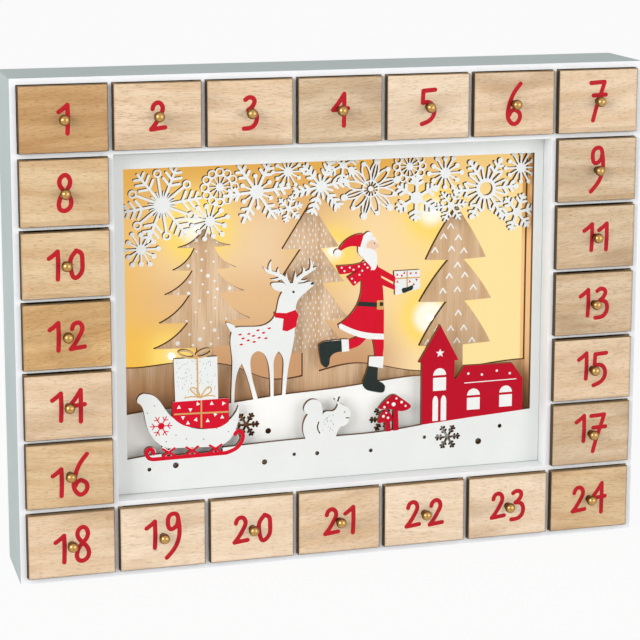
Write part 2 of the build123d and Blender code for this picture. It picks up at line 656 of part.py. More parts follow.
def gift_bringer():
    """Bearded figure in a belted coat, scarf and pointed cap, striding right with a parcel held out."""
    with BuildLine() as cap:
        Spline((-5.6, 142.6), (-11.8, 143.4), (-16.6, 141.6), (-18.8, 140.2))
        Line((-18.8, 140.2), (-18.6, 142.4))
        Spline((-18.6, 142.4), (-15.0, 146.8), (-9.5, 150.0), (-3.4, 151.0))
        Line((-3.4, 151.0), (-5.6, 142.6))
    make_face(cap.edges())
    with Locations((-19.7, 139.6)):
        Circle(2.4)
    with Locations((-0.2, 143.8)):
        Circle(6.0)
    with Locations((5.9, 142.8)):
        Circle(1.1)
    curl(5.2, (0.4, 149.4), (-3.2, 145.4), (-4.0, 139.8))
    beard = [(-4.6, 140.6), (4.4, 140.0), (5.8, 134.4), (5.4, 130.2)]
    beard += [(3.6, 127.6), (0.8, 130.4), (-3.0, 135.0)]
    smooth_shape(*beard)
    smooth_shape((-3.0, 133.8), (1.6, 134.2), (6.2, 130.4), (5.6, 126.4), (0.2, 126.8), (-4.2, 128.8))
    with BuildLine() as long_tail:
        Spline((-0.6, 134.0), (-5.6, 132.4), (-10.6, 131.8), (-20.3, 131.7))
        Line((-20.3, 131.7), (-18.2, 126.3))
        Spline((-18.2, 126.3), (-9.8, 127.2), (-5.0, 129.2), (-0.6, 132.0))
        Line((-0.6, 132.0), (-0.6, 134.0))
    make_face(long_tail.edges())
    straight_shape((-2.0, 130.6), (-8.6, 126.9), (-13.6, 124.0), (-9.4, 118.5), (-2.0, 123.6))
    with BuildLine() as coat:
        Spline((-3.4, 131.0), (-4.2, 122.0), (-4.6, 114.0), (-6.4, 107.8), (-10.8, 101.0), (-19.2, 94.6))
        Line((-19.2, 94.6), (-18.4, 92.2))
        Spline((-18.4, 92.2), (-11.6, 88.5), (-1.2, 84.9), (10.2, 83.6))
        Line((10.2, 83.6), (10.2, 104.0))
        Spline((10.2, 104.0), (9.6, 114.0), (8.0, 124.2), (5.2, 130.6))
        Line((5.2, 130.6), (-3.4, 131.0))
    make_face(coat.edges())
    straight_shape((4.6, 130.2), (7.5, 128.9), (17.4, 122.9), (17.4, 118.9), (6.4, 125.0))
    straight_shape((6.4, 123.8), (17.4, 117.2), (17.4, 114.2), (7.6, 118.6))
    straight_shape((16.6, 126.3), (33.2, 126.4), (33.8, 114.6), (17.4, 111.2))
    with BuildLine() as rear_leg:
        Spline((-0.6, 89.0), (-6.6, 86.4), (-12.8, 84.6), (-17.2, 84.9), (-24.0, 84.7))
        Spline((-24.0, 84.7), (-29.2, 84.1), (-31.6, 82.6))
        Spline((-31.6, 82.6), (-31.2, 78.4), (-30.2, 72.4), (-29.2, 69.6), (-26.8, 68.2), (-24.9, 70.2))
        Spline((-24.9, 70.2), (-24.5, 73.8), (-22.8, 76.2), (-16.8, 77.7))
        Spline((-16.8, 77.7), (-12.4, 78.6), (-5.2, 81.0), (-0.6, 85.2))
        Line((-0.6, 85.2), (-0.6, 89.0))
    make_face(rear_leg.edges())
    straight_shape((-17.3, 85.4), (-12.6, 85.1), (-12.2, 77.6), (-16.8, 77.3))
    straight_shape((2.8, 86.0), (4.1, 78.8), (5.0, 72.0), (9.4, 72.0), (10.2, 78.4), (10.2, 86.0))
    straight_shape((0.8, 73.3), (10.3, 72.9), (9.6, 65.2), (0.4, 67.4))
    with BuildLine() as front_boot:
        Spline((6.4, 66.0), (6.2, 61.0), (6.8, 57.4), (9.2, 56.0), (11.2, 53.6))
        Spline((11.2, 53.6), (10.4, 50.3), (6.8, 50.0), (2.0, 51.2), (-1.4, 52.6), (-3.4, 55.2))
        Spline((-3.4, 55.2), (-2.6, 58.6), (-1.0, 63.0), (0.6, 68.0))
        Line((0.6, 68.0), (6.4, 66.0))
    make_face(front_boot.edges())


with BuildPart() as middle_layer:
    with BuildSketch(scene_plane(middle_back_y)):
        hill(inset_half, 46.6, 49.2, 49.8, 52.6, 54.2, 57.0, 58.4, 50.0, 28.0)
        for place, motif in ((deer_x, reindeer), (bringer_x, gift_bringer)):
            with BuildSketch(Plane.XY, mode=Mode.PRIVATE) as shape:
                motif()
            with Locations((place, 0)):
                add(shape.sketch)
        for share, height, radius in middle_holes:
            with Locations((share * border_half, height)):
                Circle(radius, mode=Mode.SUBTRACT)
        for share, height in middle_flake_cuts:
            with Locations((share * border_half, height)):
                add(cut_flake, mode=Mode.SUBTRACT)
    extrude(amount=layer_board)
save(middle_layer.part, "middle_layer")

# Rear scene board: a frame with a hill and three firs, left in natural wood.
curved_tiers = [(16.2, 146.6), (19.6, 132.8), (24.6, 118.0), (28.2, 100.6), (31.8, 85.0)]
plain_tiers = [(17.9, 142.4), (21.2, 120.4), (23.6, 97.4), (24.4, 77.4)]
chevron_tiers = [(19.8, 130.8), (23.8, 104.2), (23.6, 76.0)]
curved_fir = (-0.590 * border_half, 157.2, curved_tiers)
plain_fir = (-0.078 * border_half, 169.8, plain_tiers)
chevron_fir = (0.648 * border_half, 163.4, chevron_tiers)
trunk_half = 5.2


def fir(middle_x, top, tiers, notch, sag):
    """Stacked tiers of branches over a trunk: notch is the waist's share of a tier, sag bends the sides."""
    waist, waist_z = 0.4, top
    for half, tip_z in tiers:
        for side in (-1, 1):
            with BuildLine() as tier:
                upper = (middle_x + side * waist, waist_z)
                tip = (middle_x + side * half, tip_z)
                bend = (
                    (upper[0] + tip[0]) / 2 - side * sag,
                    (upper[1] + tip[1]) / 2 - sag,
                )
                if sag:
                    Spline(upper, bend, tip)
                else:
                    Line(upper, tip)
                Polyline(tip, (middle_x, tip_z - 1), (middle_x, waist_z), upper)
            make_face(tier.edges())
        waist, waist_z = half * notch, tip_z
    straight_shape(
        (middle_x - trunk_half, 40.0),
        (middle_x + trunk_half, 40.0),
        (middle_x + trunk_half, waist_z + 1),
        (middle_x - trunk_half, waist_z + 1),
    )


rear_ridge = (76.4, 73.9, 75.2, 74.2, 70.6, 62.0, 61.2, 65.2, 67.6, 64.2, 60.0, 59.2, 60.6, 62.4, 62.7)
with BuildPart() as tree_layer:
    with BuildSketch(scene_plane(tree_back_y)):
        with Locations((0, scene_height / 2)):
            Rectangle(2 * scene_half, scene_height)
            Rectangle(2 * (scene_half - spacer_width), scene_height - 2 * border_top, mode=Mode.SUBTRACT)
        hill(scene_half, *rear_ridge)
        fir(*curved_fir, notch=0.36, sag=1.6)
        fir(*plain_fir, notch=0.33, sag=0)
        fir(*chevron_fir, notch=0.22, sag=-0.7)
    extrude(amount=layer_board)
save(tree_layer.part, "tree_layer")

# Lit panel with its bulb holes, and the spacer strips that hold the scene boards apart.
bulbs = [
    (-0.740 * border_half, 78.0),
    (-0.300 * border_half, 89.2),
    (-0.616 * border_half, 157.2),
    (0.046 * border_half, 137.6),
    (0.545 * border_half, 160.0),
    (0.652 * border_half, 118.0),
    (0.540 * border_half, 92.0),
    (0.200 * border_half, 92.0),
]
scene_z = (window_floor + layer_gap, window_ceiling - layer_gap)
with BuildPart() as lit_board:
    with BuildSketch(scene_plane(panel_back_y)):
        with Locations((0, (scene_height + panel_lift) / 2)):
            Rectangle(2 * scene_half, scene_height - panel_lift)
        with Locations(*bulbs):
            Circle(bulb_radius + bulb_gap, mode=Mode.SUBTRACT)
    extrude(amount=layer_board)
panel_pieces = [lit_board.part]
for side in (-1, 1):
    strip_x = sorted((side * (scene_half - spacer_width), side * scene_half))
    panel_pieces.append(make_board(strip_x, (frame_back_y, tree_front_y), scene_z))
    panel_pieces.append(make_board(strip_x, (tree_back_y, panel_front_y), scene_z))
foot_z = (scene_z[0], scene_z[0] + floor_spacer)
foot_x = (-inset_half, inset_half)
panel_pieces.append(make_board(foot_x, (frame_back_y, middle_front_y), foot_z))
panel_pieces.append(make_board(foot_x, (middle_back_y, tree_front_y), foot_z))
save_group(panel_pieces, "light_panel")

# Battery box: a tray let into the rear panel, with a rim, two rails for the cover and a switch housing.
bay_length = cell_length + cell_tip + 2 * (contact_leaf + contact_gap)
bay_height = 4 * cell_radius + 3 * cell_gap
box_middle_z = window_floor + layer_gap + box_height + bay_height / 2
tray_half = bay_length / 2 + box_wall
tray_rise = bay_height / 2 + box_wall
cover_half = tray_half + cover_overlap
cover_rise = tray_rise + cover_overlap
cover_y = (rear_face_y + flange + cover_gap, rear_face_y + flange + cover_gap + cover_board)
rail_rise = cover_rise + cover_gap
lip_y = (cover_y[1] + cover_gap, cover_y[1] + cover_gap + rail_lip)
switch_x = -(cover_half + cover_gap + flange_rim + switch_length / 2)
housing_half = switch_length / 2 + box_wall
housing_rise = switch_width / 2 + box_wall + 1
rim_left = switch_x - housing_half - box_wall
rim_right = cover_half + box_wall
box_plane = Plane((0, rear_face_y, box_middle_z), x_dir=(-1, 0, 0), z_dir=(0, 1, 0))
pocket_y = rear_face_y + flange - switch_pocket


def rear_box(x_span, y_span, rise, mode=Mode.ADD):
    """Block of the battery box, as high above its middle line as below it."""
    with Locations(((x_span[0] + x_span[1]) / 2, (y_span[0] + y_span[1]) / 2, box_middle_z)):
        Box(x_span[1] - x_span[0], y_span[1] - y_span[0], 2 * rise, mode=mode)


with BuildPart() as battery_tray:
    rear_box((-tray_half, tray_half), (box_front_y, rear_face_y + flange), tray_rise)
    rear_box((switch_x - housing_half, -tray_half), (pocket_y - box_wall, rear_face_y), housing_rise)
    rear_box((rim_left, rim_right), (rear_face_y, rear_face_y + flange), rail_rise + box_wall)
    rear_box((-cover_half, cover_half), (rear_face_y + flange, lip_y[1]), rail_rise + box_wall)
    rear_box((-cover_half, cover_half), (rear_face_y + flange, lip_y[0]), rail_rise, mode=Mode.SUBTRACT)
    rear_box((-cover_half, cover_half), lip_y, cover_rise - cover_overlap / 2, mode=Mode.SUBTRACT)
    stop_x = (-cover_half - cover_gap - box_wall, -cover_half - cover_gap)
    rear_box(stop_x, (rear_face_y + flange, lip_y[1]), cover_rise)
    bay_y = (box_front_y + box_floor, rear_face_y + flange)
    rear_box((-bay_length / 2, bay_length / 2), bay_y, bay_height / 2, mode=Mode.SUBTRACT)
    slot_x = (switch_x - switch_length / 2, switch_x + switch_length / 2)
    rear_box(slot_x, (pocket_y, rear_face_y + flange), switch_width / 2, mode=Mode.SUBTRACT)
battery_pieces = [battery_tray.part]
cell_y = box_front_y + box_floor + cell_gap + cell_radius
for rise, turn in ((-1, 1), (1, -1)):
    cell_z = box_middle_z + rise * (cell_radius + cell_gap / 2)
    end_x = -turn * (cell_length + cell_tip) / 2
    with BuildPart() as cell:
        with BuildSketch(Plane((end_x, cell_y, cell_z), z_dir=(turn, 0, 0))):
            Circle(cell_radius)
        extrude(amount=cell_length)
        with BuildSketch(Plane((end_x + turn * cell_length, cell_y, cell_z), z_dir=(turn, 0, 0))):
            Circle(cell_tip_radius)
        extrude(amount=cell_tip)
    battery_pieces.append(cell.part)
leaf_y = (bay_y[0] + contact_gap, bay_y[1] - 2 * contact_gap)
leaf_z = (box_middle_z - bay_height / 2 + contact_gap, box_middle_z + bay_height / 2 - contact_gap)
for side in (-1, 1):
    leaf_x = sorted((side * (bay_length / 2 - contact_leaf), side * bay_length / 2))
    battery_pieces.append(make_board(leaf_x, leaf_y, leaf_z))
save_group(battery_pieces, "battery_box")

# Battery cover: a plate with finger ribs that slides out sideways under the rails.
rib_pitch = 3.0
rib_width = 1.0
with BuildPart() as battery_cover:
    rear_box((-cover_half, cover_half), cover_y, cover_rise)
    for index in range(4):
        rib_x = cover_half - (index + 2) * rib_pitch
        rear_box((rib_x, rib_x + rib_width), (cover_y[1], lip_y[1]), cover_rise / 2)
save(battery_cover.part, "battery_cover")

# Switch slider: a ribbed thumb piece in its slot, at rest at the end where the lamps are on.
slider_length = switch_length - switch_travel - 2 * switch_gap
slider_x = (slot_x[0] + switch_gap, slot_x[0] + switch_gap + slider_length)
with BuildPart() as switch_slider:
    rear_box(slider_x, (pocket_y + switch_gap, lip_y[0]), switch_width / 2 - switch_gap)
    grip_x = (slider_x[0] + slider_length * 0.3, slider_x[1] - slider_length * 0.3)
    rear_box(grip_x, (lip_y[0], lip_y[1]), switch_width / 2 - switch_gap)
save(switch_slider.part, "switch_slider")

# Rear panel: thin board between the case boards, cut out for the battery box.
with BuildPart() as rear_panel:
    with Locations((0, (rear_y + rear_face_y) / 2, case_height / 2)):
        Box(case_width - 2 * case_board, rear_board, case_height - 2 * case_board)
    cut_y = (rear_y, rear_face_y)
    cut_half = tray_half + layer_gap
    rear_box((-cut_half, cut_half), cut_y, tray_rise + layer_gap, mode=Mode.SUBTRACT)
    housing_cut = (switch_x - housing_half - layer_gap, -tray_half)
    rear_box(housing_cut, cut_y, housing_rise + layer_gap, mode=Mode.SUBTRACT)
save(rear_panel.part, "rear_panel")

# Lamp string: bulbs through the lit panel, joined by one wire that lies on the panel's back.
wire_y = panel_back_y + wire_radius + bulb_gap
exit_x = -tray_half / 2
exit_y = box_front_y + 3 * wire_radius
foot = window_floor + layer_gap
tray_top = box_middle_z + tray_rise
turn_out = 16.0
left_x = bulbs[0][0] - turn_out
dip_x = (bulbs[3][0] - 2 * turn_out, bulbs[3][0] + 2 * turn_out)
right_x = bulbs[5][0]
step_x = (bulbs[0][0] + bulbs[1][0]) / 2
wire_flat = [
    (bulbs[7][0] - turn_out, bulbs[7][1]),
    (right_x, bulbs[6][1]),
    (right_x, bulbs[4][1]),
    (dip_x[1], bulbs[4][1]),
    (dip_x[1], bulbs[3][1]),
    (dip_x[0], bulbs[3][1]),
    (dip_x[0], bulbs[2][1]),
    (left_x, bulbs[2][1]),
    (left_x, bulbs[0][1]),
    (step_x, bulbs[0][1]),
    (step_x, bulbs[1][1]),
    (exit_x, bulbs[1][1]),
]
wire_route = [(x, wire_y, foot + z) for x, z in wire_flat]
wire_route.append((exit_x, wire_y, tray_top + turn_out))
wire_route.append((exit_x, exit_y, tray_top + turn_out / 2))
wire_route.append((exit_x, exit_y, tray_top))
bends = [wire_bend] * (len(wire_route) - 4) + [wire_radius * 4] * 2
with BuildPart() as led_string:
    with BuildLine() as wire_path:
        FilletPolyline(*wire_route, radius=bends)
    with BuildSketch(Plane(wire_path.line @ 0, z_dir=wire_path.line % 0)):
        Circle(wire_radius)
    sweep()
    dome_y = panel_front_y - bulb_reach
    base_y = wire_y + wire_radius + bulb_base
    for x, z in bulbs:
        with BuildSketch(Plane((x, base_y, foot + z), z_dir=(0, -1, 0))):
            Circle(bulb_radius)
        extrude(amount=base_y - dome_y)
        with Locations((x, dome_y, foot + z)):
            Sphere(bulb_radius)
save(led_string.part, "led_string")
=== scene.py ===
import bpy
import numpy as np
from mathutils import Matrix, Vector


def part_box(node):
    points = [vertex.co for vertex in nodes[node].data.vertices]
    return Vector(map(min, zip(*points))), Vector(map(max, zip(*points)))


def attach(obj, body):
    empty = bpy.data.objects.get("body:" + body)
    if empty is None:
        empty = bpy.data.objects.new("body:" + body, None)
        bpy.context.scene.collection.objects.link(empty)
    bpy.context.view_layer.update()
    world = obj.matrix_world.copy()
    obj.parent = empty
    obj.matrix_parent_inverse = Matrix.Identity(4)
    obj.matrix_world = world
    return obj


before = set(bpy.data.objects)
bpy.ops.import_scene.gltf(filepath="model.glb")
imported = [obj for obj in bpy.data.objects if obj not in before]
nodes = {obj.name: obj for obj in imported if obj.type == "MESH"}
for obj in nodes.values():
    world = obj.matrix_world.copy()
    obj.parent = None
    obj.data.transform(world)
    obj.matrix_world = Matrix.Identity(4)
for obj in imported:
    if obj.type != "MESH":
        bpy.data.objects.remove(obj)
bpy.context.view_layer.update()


# Outer case: four thin boards, butted at the corners and glued.
# Fine-grained board with sage paint brushed on outside, and white paint on the front edges and inside.
per_metre = 1000.0


class Socket:
    """One output of a shader node. Arithmetic on it adds Math nodes to the same material."""

    def __init__(self, finish, output):
        self.finish = finish
        self.output = output

    def __add__(self, other):
        return self.finish.math("ADD", self, other)

    def __sub__(self, other):
        return self.finish.math("SUBTRACT", self, other)

    def __rsub__(self, other):
        return self.finish.math("SUBTRACT", other, self)

    def __mul__(self, other):
        return self.finish.math("MULTIPLY", self, other)

    def __truediv__(self, other):
        return self.finish.math("DIVIDE", self, other)

    def __rtruediv__(self, other):
        return self.finish.math("DIVIDE", other, self)

    def __gt__(self, other):
        return self.finish.math("GREATER_THAN", self, other)

    def __lt__(self, other):
        return self.finish.math("LESS_THAN", self, other)

    def __abs__(self):
        return self.finish.math("ABSOLUTE", self, 0.0)

    __radd__ = __add__
    __rmul__ = __mul__


class Nodes:
    """A shader node tree, to which nodes are added."""

    def __init__(self, tree):
        self.tree = tree

    def node(self, kind, settings, inputs, output=0):
        """Any shader node: its settings first, then values or links for its inputs."""
        made = self.tree.nodes.new("ShaderNode" + kind)
        for key, value in settings.items():
            setattr(made, key, value)
        for key, value in inputs.items():
            if isinstance(value, Socket):
                self.tree.links.new(value.output, made.inputs[key])
            else:
                made.inputs[key].default_value = value
        return Socket(self, made.outputs[output])

    def math(self, operation, first, second):
        return self.node("Math", {"operation": operation}, {0: first, 1: second})

    def mix(self, share, first, second):
        """Blend of two colours. Sockets 6 and 7 and output 2 of the Mix node are its colours."""
        return self.node("Mix", {"data_type": "RGBA"}, {0: share, 6: first, 7: second}, 2)

    def soft_step(self, value, low, high):
        """0 below low, 1 above high, and a smooth ramp between."""
        return self.node("MapRange", {"interpolation_type": "SMOOTHSTEP"}, {0: value, 1: low, 2: high})

    def seen_directly(self):
        """1 for rays from the camera, off a glossy surface or through a clear one, else 0."""
        rays = ("Is Camera Ray", "Is Glossy Ray", "Is Transmission Ray")
        camera, gloss, clear = (self.node("LightPath", {}, {}, ray) for ray in rays)
        return self.math("MAXIMUM", self.math("MAXIMUM", camera, gloss), clear)


class Finish(Nodes):
    """One material, with the piece's own coordinates in millimetres and its own face directions."""

    def __init__(self, name, **constants):
        self.material = bpy.data.materials.new(name)
        self.material.use_nodes = True
        super().__init__(self.material.node_tree)
        self.shader = self.tree.nodes["Principled BSDF"]
        for key, value in constants.items():
            self.shader.inputs[key.replace("_", " ").title().replace("Ior", "IOR")].default_value = value
        metres = self.node("TexCoord", {}, {}, "Object")
        self.place = self.node("VectorMath", {"operation": "SCALE"}, {0: metres, "Scale": per_metre})
        self.x, self.y, self.z = (self.node("SeparateXYZ", {}, {0: self.place}, axis) for axis in "XYZ")
        facing = self.node("TexCoord", {}, {}, "Normal")
        self.nx, self.ny, self.nz = (self.node("SeparateXYZ", {}, {0: facing}, axis) for axis in "XYZ")

    def grain(self, stretch, scale, detail=3.0, offset=None, place=None):
        """Noise on coordinates stretched per axis: streaks run along the smallest factor."""
        spot = self.node("VectorMath", {"operation": "MULTIPLY"}, {0: place or self.place, 1: stretch})
        if offset is not None:
            spot = self.node("VectorMath", {"operation": "ADD"}, {0: spot, 1: offset})
        return self.node("TexNoise", {}, {"Vector": spot, "Scale": scale, "Detail": detail})

    def set(self, **links):
        """Links values to the shader's inputs, by name."""
        for key, value in links.items():
            self.tree.links.new(value.output, self.shader.inputs[key.replace("_", " ").title()])

    def bump(self, height, distance):
        """Relief from a height between 0 and 1, with its depth in metres."""
        self.set(normal=self.node("Bump", {}, {"Height": height, "Distance": distance}, "Normal"))


def colour(code):
    """Linear colour of an sRGB code such as b3bfba."""
    level = np.array([int(code[start : start + 2], 16) for start in (0, 2, 4)]) / 255
    linear = np.where(level <= 0.04045, level / 12.92, ((level + 0.055) / 1.055) ** 2.4)
    return (*linear.tolist(), 1.0)


def dress(finish, *names):
    """Gives CAD nodes their finish."""
    for name in names:
        nodes[name].data.materials.clear()
        nodes[name].data.materials.append(finish.material)


def corners_of(name):
    """Lowest and highest corner of a CAD node at rest, in millimetres."""
    return [np.array(corner) * per_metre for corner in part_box(name)]


case_low, case_high = corners_of("outer_case")
case_half, case_top = case_high[0], case_high[2]
case_front = case_low[1]
paint_skin = 0.4
rim_width = 0.9
sage = Finish("sage paint over white", specular_ior_level=0.35)
side_face = abs(sage.x) > case_half - paint_skin
level_face = abs(sage.z - case_top / 2) > case_top / 2 - paint_skin
outside = sage.math("MAXIMUM", side_face, level_face) * (sage.ny > -0.5)
brushed = sage.grain((0.5, 0.02, 0.5), 0.8, 4.0)
blotch = sage.grain((1.0, 1.0, 1.0), 0.018, 2.0)
sage_tone = sage.mix(blotch * 0.7 + brushed * 0.3, colour("a5b3b1"), colour("bac6c4"))
rim = sage.soft_step(sage.y, case_front + rim_width, case_front)
sage_tone = sage.mix(rim * 0.55, sage_tone, colour("e6ebeb"))
case_white = sage.mix(blotch, colour("eff1f4"), colour("f9fafc"))
sage.set(base_color=sage.mix(outside, case_white, sage_tone))
sage.set(roughness=brushed * 0.18 + 0.48)
sage.bump(brushed + sage.grain((1.0, 1.0, 1.0), 1.6, 2.0) * 0.4, 0.00012)
dress(sage, "outer_case")

# Dividers: long shelves and uprights round the window, and short boards between the drawers.
# Thin board, sprayed white; a little grain still shows on the front edges.
white = Finish("white sprayed board", specular_ior_level=0.35)
board_grain = white.grain((0.03, 0.6, 0.6), 0.9, 4.0)
cloud = white.grain((1.0, 1.0, 1.0), 0.02, 2.0)
shade_depth = 14.0
shadow_line_lift, shadow_line_half = 0.5, 0.4
shadow_line_end, shadow_line_start = 60.0, -120.0
# Painted shade: the white boards darken from the front edge inwards over shade_depth, in the drawer
# openings and the window's reveal.
depth = white.soft_step(white.y, case_front, case_front + shade_depth)
white_face = white.mix(cloud, colour("f1f3f5"), colour("fafbfc"))
white_in_painted_shade = white.mix(cloud, colour("dbdfdd"), colour("e6e9e7"))
board_low, board_high = corners_of("front_frame")
# Painted shadow: a dark line on the front faces just above the top of the front scene board, along the top
# of the window. It is strongest at the left and fades out towards the right.
shelf_shadow_line = abs(white.z - board_high[2] - shadow_line_lift) < shadow_line_half
shelf_shadow_line = shelf_shadow_line * (white.ny < -0.5) * (abs(white.x) < board_high[0])
shelf_shadow_line = shelf_shadow_line * white.soft_step(white.x, shadow_line_end, shadow_line_start)
white_and_painted_shade = white.mix(depth, white_face, white_in_painted_shade)
white.set(base_color=white.mix(shelf_shadow_line * 0.7, white_and_painted_shade, colour("7b7f7c")))
white.set(roughness=board_grain * 0.2 + 0.45)
white.bump(board_grain, 0.0001)
dress(white, "dividers")

# Drawers: a front board with burnt laser-cut edges, glued to a tray of four thin boards.
# Bare sanded veneer; each drawer is cut from another place, so tone and grain differ.
drawer_low, drawer_high = corners_of("drawer_18")
column_pitch = corners_of("drawer_02")[0][0] - corners_of("drawer_01")[0][0]
row_pitch = corners_of("drawer_16")[0][2] - drawer_low[2]
drawer_middle = (drawer_low + drawer_high) / 2
drawer_face = drawer_low[1]
drawer_count = 24
burn_width, burn_core = 1.3, 0.5
front_skin = 0.05


def veneer(name, pale, middle, dark):
    """Light wood with grain along X: slow bands, fine fibres and dark pores, new for every drawer."""
    wood = Finish(name, specular_ior_level=0.25)
    column = (wood.x - drawer_middle[0]) / column_pitch
    row = (wood.z - drawer_middle[2]) / row_pitch
    column_number = wood.math("ROUND", column, 0.0)
    row_number = wood.math("ROUND", row, 0.0)
    address = wood.node("CombineXYZ", {}, {0: column_number, 1: row_number})
    chance = wood.node("TexWhiteNoise", {"noise_dimensions": "2D"}, {"Vector": address}, "Color")
    tone = wood.node("SeparateXYZ", {}, {0: chance}, "X")
    shift = wood.node("VectorMath", {"operation": "SCALE"}, {0: chance, "Scale": 90.0})
    lean = wood.node("SeparateXYZ", {}, {0: chance}, "Y") * 0.3 - 0.15
    turned = wood.node("VectorRotate", {"rotation_type": "Y_AXIS"}, {"Vector": wood.place, "Angle": lean})
    bands = wood.grain((0.09, 0.3, 1.0), 0.16, 2.5, shift, turned)
    fibres = wood.grain((0.06, 1.0, 1.0), 1.6, 4.0, shift, turned)
    pores = wood.soft_step(wood.grain((0.22, 1.0, 2.2), 1.2, 2.0, shift, turned), 0.57, 0.7)
    swirl = wood.soft_step(wood.grain((0.35, 1.0, 1.0), 0.05, 1.5, shift, turned), 0.48, 0.68)
    tint = wood.mix(wood.soft_step(bands, 0.3, 0.72), pale, middle)
    tint = wood.mix(swirl * (tone * 0.45 + 0.08), tint, dark)
    tint = wood.mix(wood.soft_step(fibres, 0.45, 0.8) * 0.3, tint, dark)
    tint = wood.mix(pores * 0.4, tint, dark)
    from_side = (drawer_high[0] - drawer_low[0]) / 2 - abs(column - column_number) * column_pitch
    from_top = (drawer_high[2] - drawer_low[2]) / 2 - abs(row - row_number) * row_pitch
    scorch = wood.soft_step(wood.math("MINIMUM", from_side, from_top), burn_width, burn_core)
    front = wood.y < case_front + front_skin
    tint = wood.mix(scorch * front * 0.25, tint, colour("9a7650"))
    cut = (abs(wood.ny) < 0.9) * front
    char_and_lit_tops = wood.mix(fibres, colour("3a2f22"), colour("5f4d37"))
    # Painted light: cut faces that look upwards are lighter than the burnt sides and bottoms.
    char_and_lit_tops = wood.mix(wood.soft_step(wood.nz, 0.3, 0.6), char_and_lit_tops, colour("8d7350"))
    wood.set(base_color=wood.mix(cut, tint, char_and_lit_tops))
    wood.set(roughness=fibres * 0.25 + 0.5)
    wood.bump(fibres + pores * -0.6, 0.00016)
    return wood


pale_veneer = veneer("pale drawer veneer", colour("ecd3b4"), colour("dfbf9b"), colour("a98560"))
light_veneer = veneer("light drawer veneer", colour("f5e0c6"), colour("ebd2b3"), colour("bb9a75"))
warm_veneer = veneer("warm drawer veneer", colour("e2c69d"), colour("d3ae82"), colour("a07a50"))
gold_veneer = veneer("golden drawer veneer", colour("dfba85"), colour("cda067"), colour("93693a"))
brown_veneer = veneer("browned drawer veneer", colour("cfa878"), colour("ba8e5c"), colour("835d34"))
grey_veneer = veneer("greyed drawer veneer", colour("dec6a6"), colour("ccae8a"), colour("977857"))
drawer_veneers = dict.fromkeys(range(1, drawer_count + 1), pale_veneer)
drawer_veneers.update(dict.fromkeys((5, 19, 20, 22, 23), light_veneer))
drawer_veneers.update(dict.fromkeys((8, 10, 16, 24), warm_veneer))
drawer_veneers[1] = brown_veneer
drawer_veneers[12] = gold_veneer
drawer_veneers.update(dict.fromkeys((4, 9, 11, 13, 17), grey_veneer))
for number, finish in drawer_veneers.items():
    dress(finish, f"drawer_{number:02d}")


# Numerals: red figures brushed by hand on the drawer fronts, as round-ended strokes.
# The paint stands about a tenth of a millimetre above the wood, and its red varies with the brush.
def smooth_path(points, per_span=9):
    """Open natural cubic spline through the points, spaced by chord length."""
    points = np.asarray(points, float)
    if len(points) == 2:
        return points[0] + np.linspace(0, 1, per_span)[:, None] * (points[1] - points[0])
    gaps = np.linalg.norm(np.diff(points, axis=0), axis=1)
    slopes = np.diff(points, axis=0) / gaps[:, None]
    system = np.eye(len(points))
    inner = np.arange(1, len(points) - 1)
    system[inner, inner - 1] = gaps[:-1]
    system[inner, inner] = 2 * (gaps[:-1] + gaps[1:])
    system[inner, inner + 1] = gaps[1:]
    right = np.zeros_like(points)
    right[1:-1] = 6 * np.diff(slopes, axis=0)
    return spline_points(points[:-1], points[1:], gaps, np.linalg.solve(system, right), per_span, False)


def spline_points(starts, ends, gaps, bends, per_span, closed):
    """Cubic pieces from their end points and second derivatives."""
    share = np.linspace(0, 1, per_span, endpoint=False)[None, :, None]
    gap = gaps[:, None, None]
    before, behind = bends[:-1, None], bends[1:, None]
    rest = 1 - share
    curve = rest * starts[:, None] + share * ends[:, None]
    curve = curve + gap**2 / 6 * ((rest**3 - rest) * before + (share**3 - share) * behind)
    curve = curve.reshape(-1, 2)
    return curve if closed else np.vstack([curve, ends[-1:]])


def tube_faces(rings, sides):
    """Quads between neighbouring rings of a tube, and a cap on each end."""
    ring, side = np.meshgrid(np.arange(rings - 1), np.arange(sides), indexing="ij")
    beside = (side + 1) % sides
    near, far = ring * sides, (ring + 1) * sides
    quads = np.stack([near + side, far + side, far + beside, near + beside], axis=2).reshape(-1, 4)
    caps = np.stack([np.arange(sides), rings * sides - 1 - np.arange(sides)])
    return [quads, caps]


def stroke_surface(path, half_width, height):
    """Flattened tube along a path in (x, z): its profile is an ellipse, drawn in round each end."""
    sides = 8
    way = np.gradient(path, axis=0)
    way = way / np.linalg.norm(way, axis=1)[:, None]
    turn = np.radians([90, 68, 45, 22])
    reach, narrow = half_width * np.sin(turn), half_width * np.cos(turn)
    head = path[0] - way[0] * reach[:, None]
    tail = path[-1] + way[-1] * reach[::-1, None]
    line = np.vstack([head, path, tail])
    way = np.vstack([np.repeat(way[:1], 4, 0), way, np.repeat(way[-1:], 4, 0)])
    wide = np.concatenate([narrow, np.full(len(path), half_width), narrow[::-1]])
    wide[[0, -1]] = half_width * 0.02
    across = np.stack([-way[:, 1], way[:, 0]], axis=1)
    angle = np.arange(sides) * 2 * np.pi / sides
    spread = wide[:, None] * np.cos(angle)
    x = line[:, :1] + across[:, :1] * spread
    z = line[:, 1:] + across[:, 1:] * spread
    y = -height * np.sin(angle)[None, :] * (wide / half_width)[:, None] ** 0.5
    corners = np.stack([x, y, z], axis=2).reshape(-1, 3)
    return corners, tube_faces(len(line), sides)


def make_piece(name, shapes, finish, body):
    """One object that rides on a body, from shapes: each is corners in millimetres and arrays of faces."""
    corners, faces, start = [], [], 0
    for points, groups in shapes:
        corners.append(points)
        for group in groups:
            faces += (group + start).tolist()
        start += len(points)
    mesh = bpy.data.meshes.new(name)
    mesh.from_pydata((np.vstack(corners) / per_metre).tolist(), [], faces)
    mesh.validate()
    mesh.materials.append(finish.material)
    piece = bpy.data.objects.new(name, mesh)
    bpy.context.scene.collection.objects.link(piece)
    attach(piece, body)


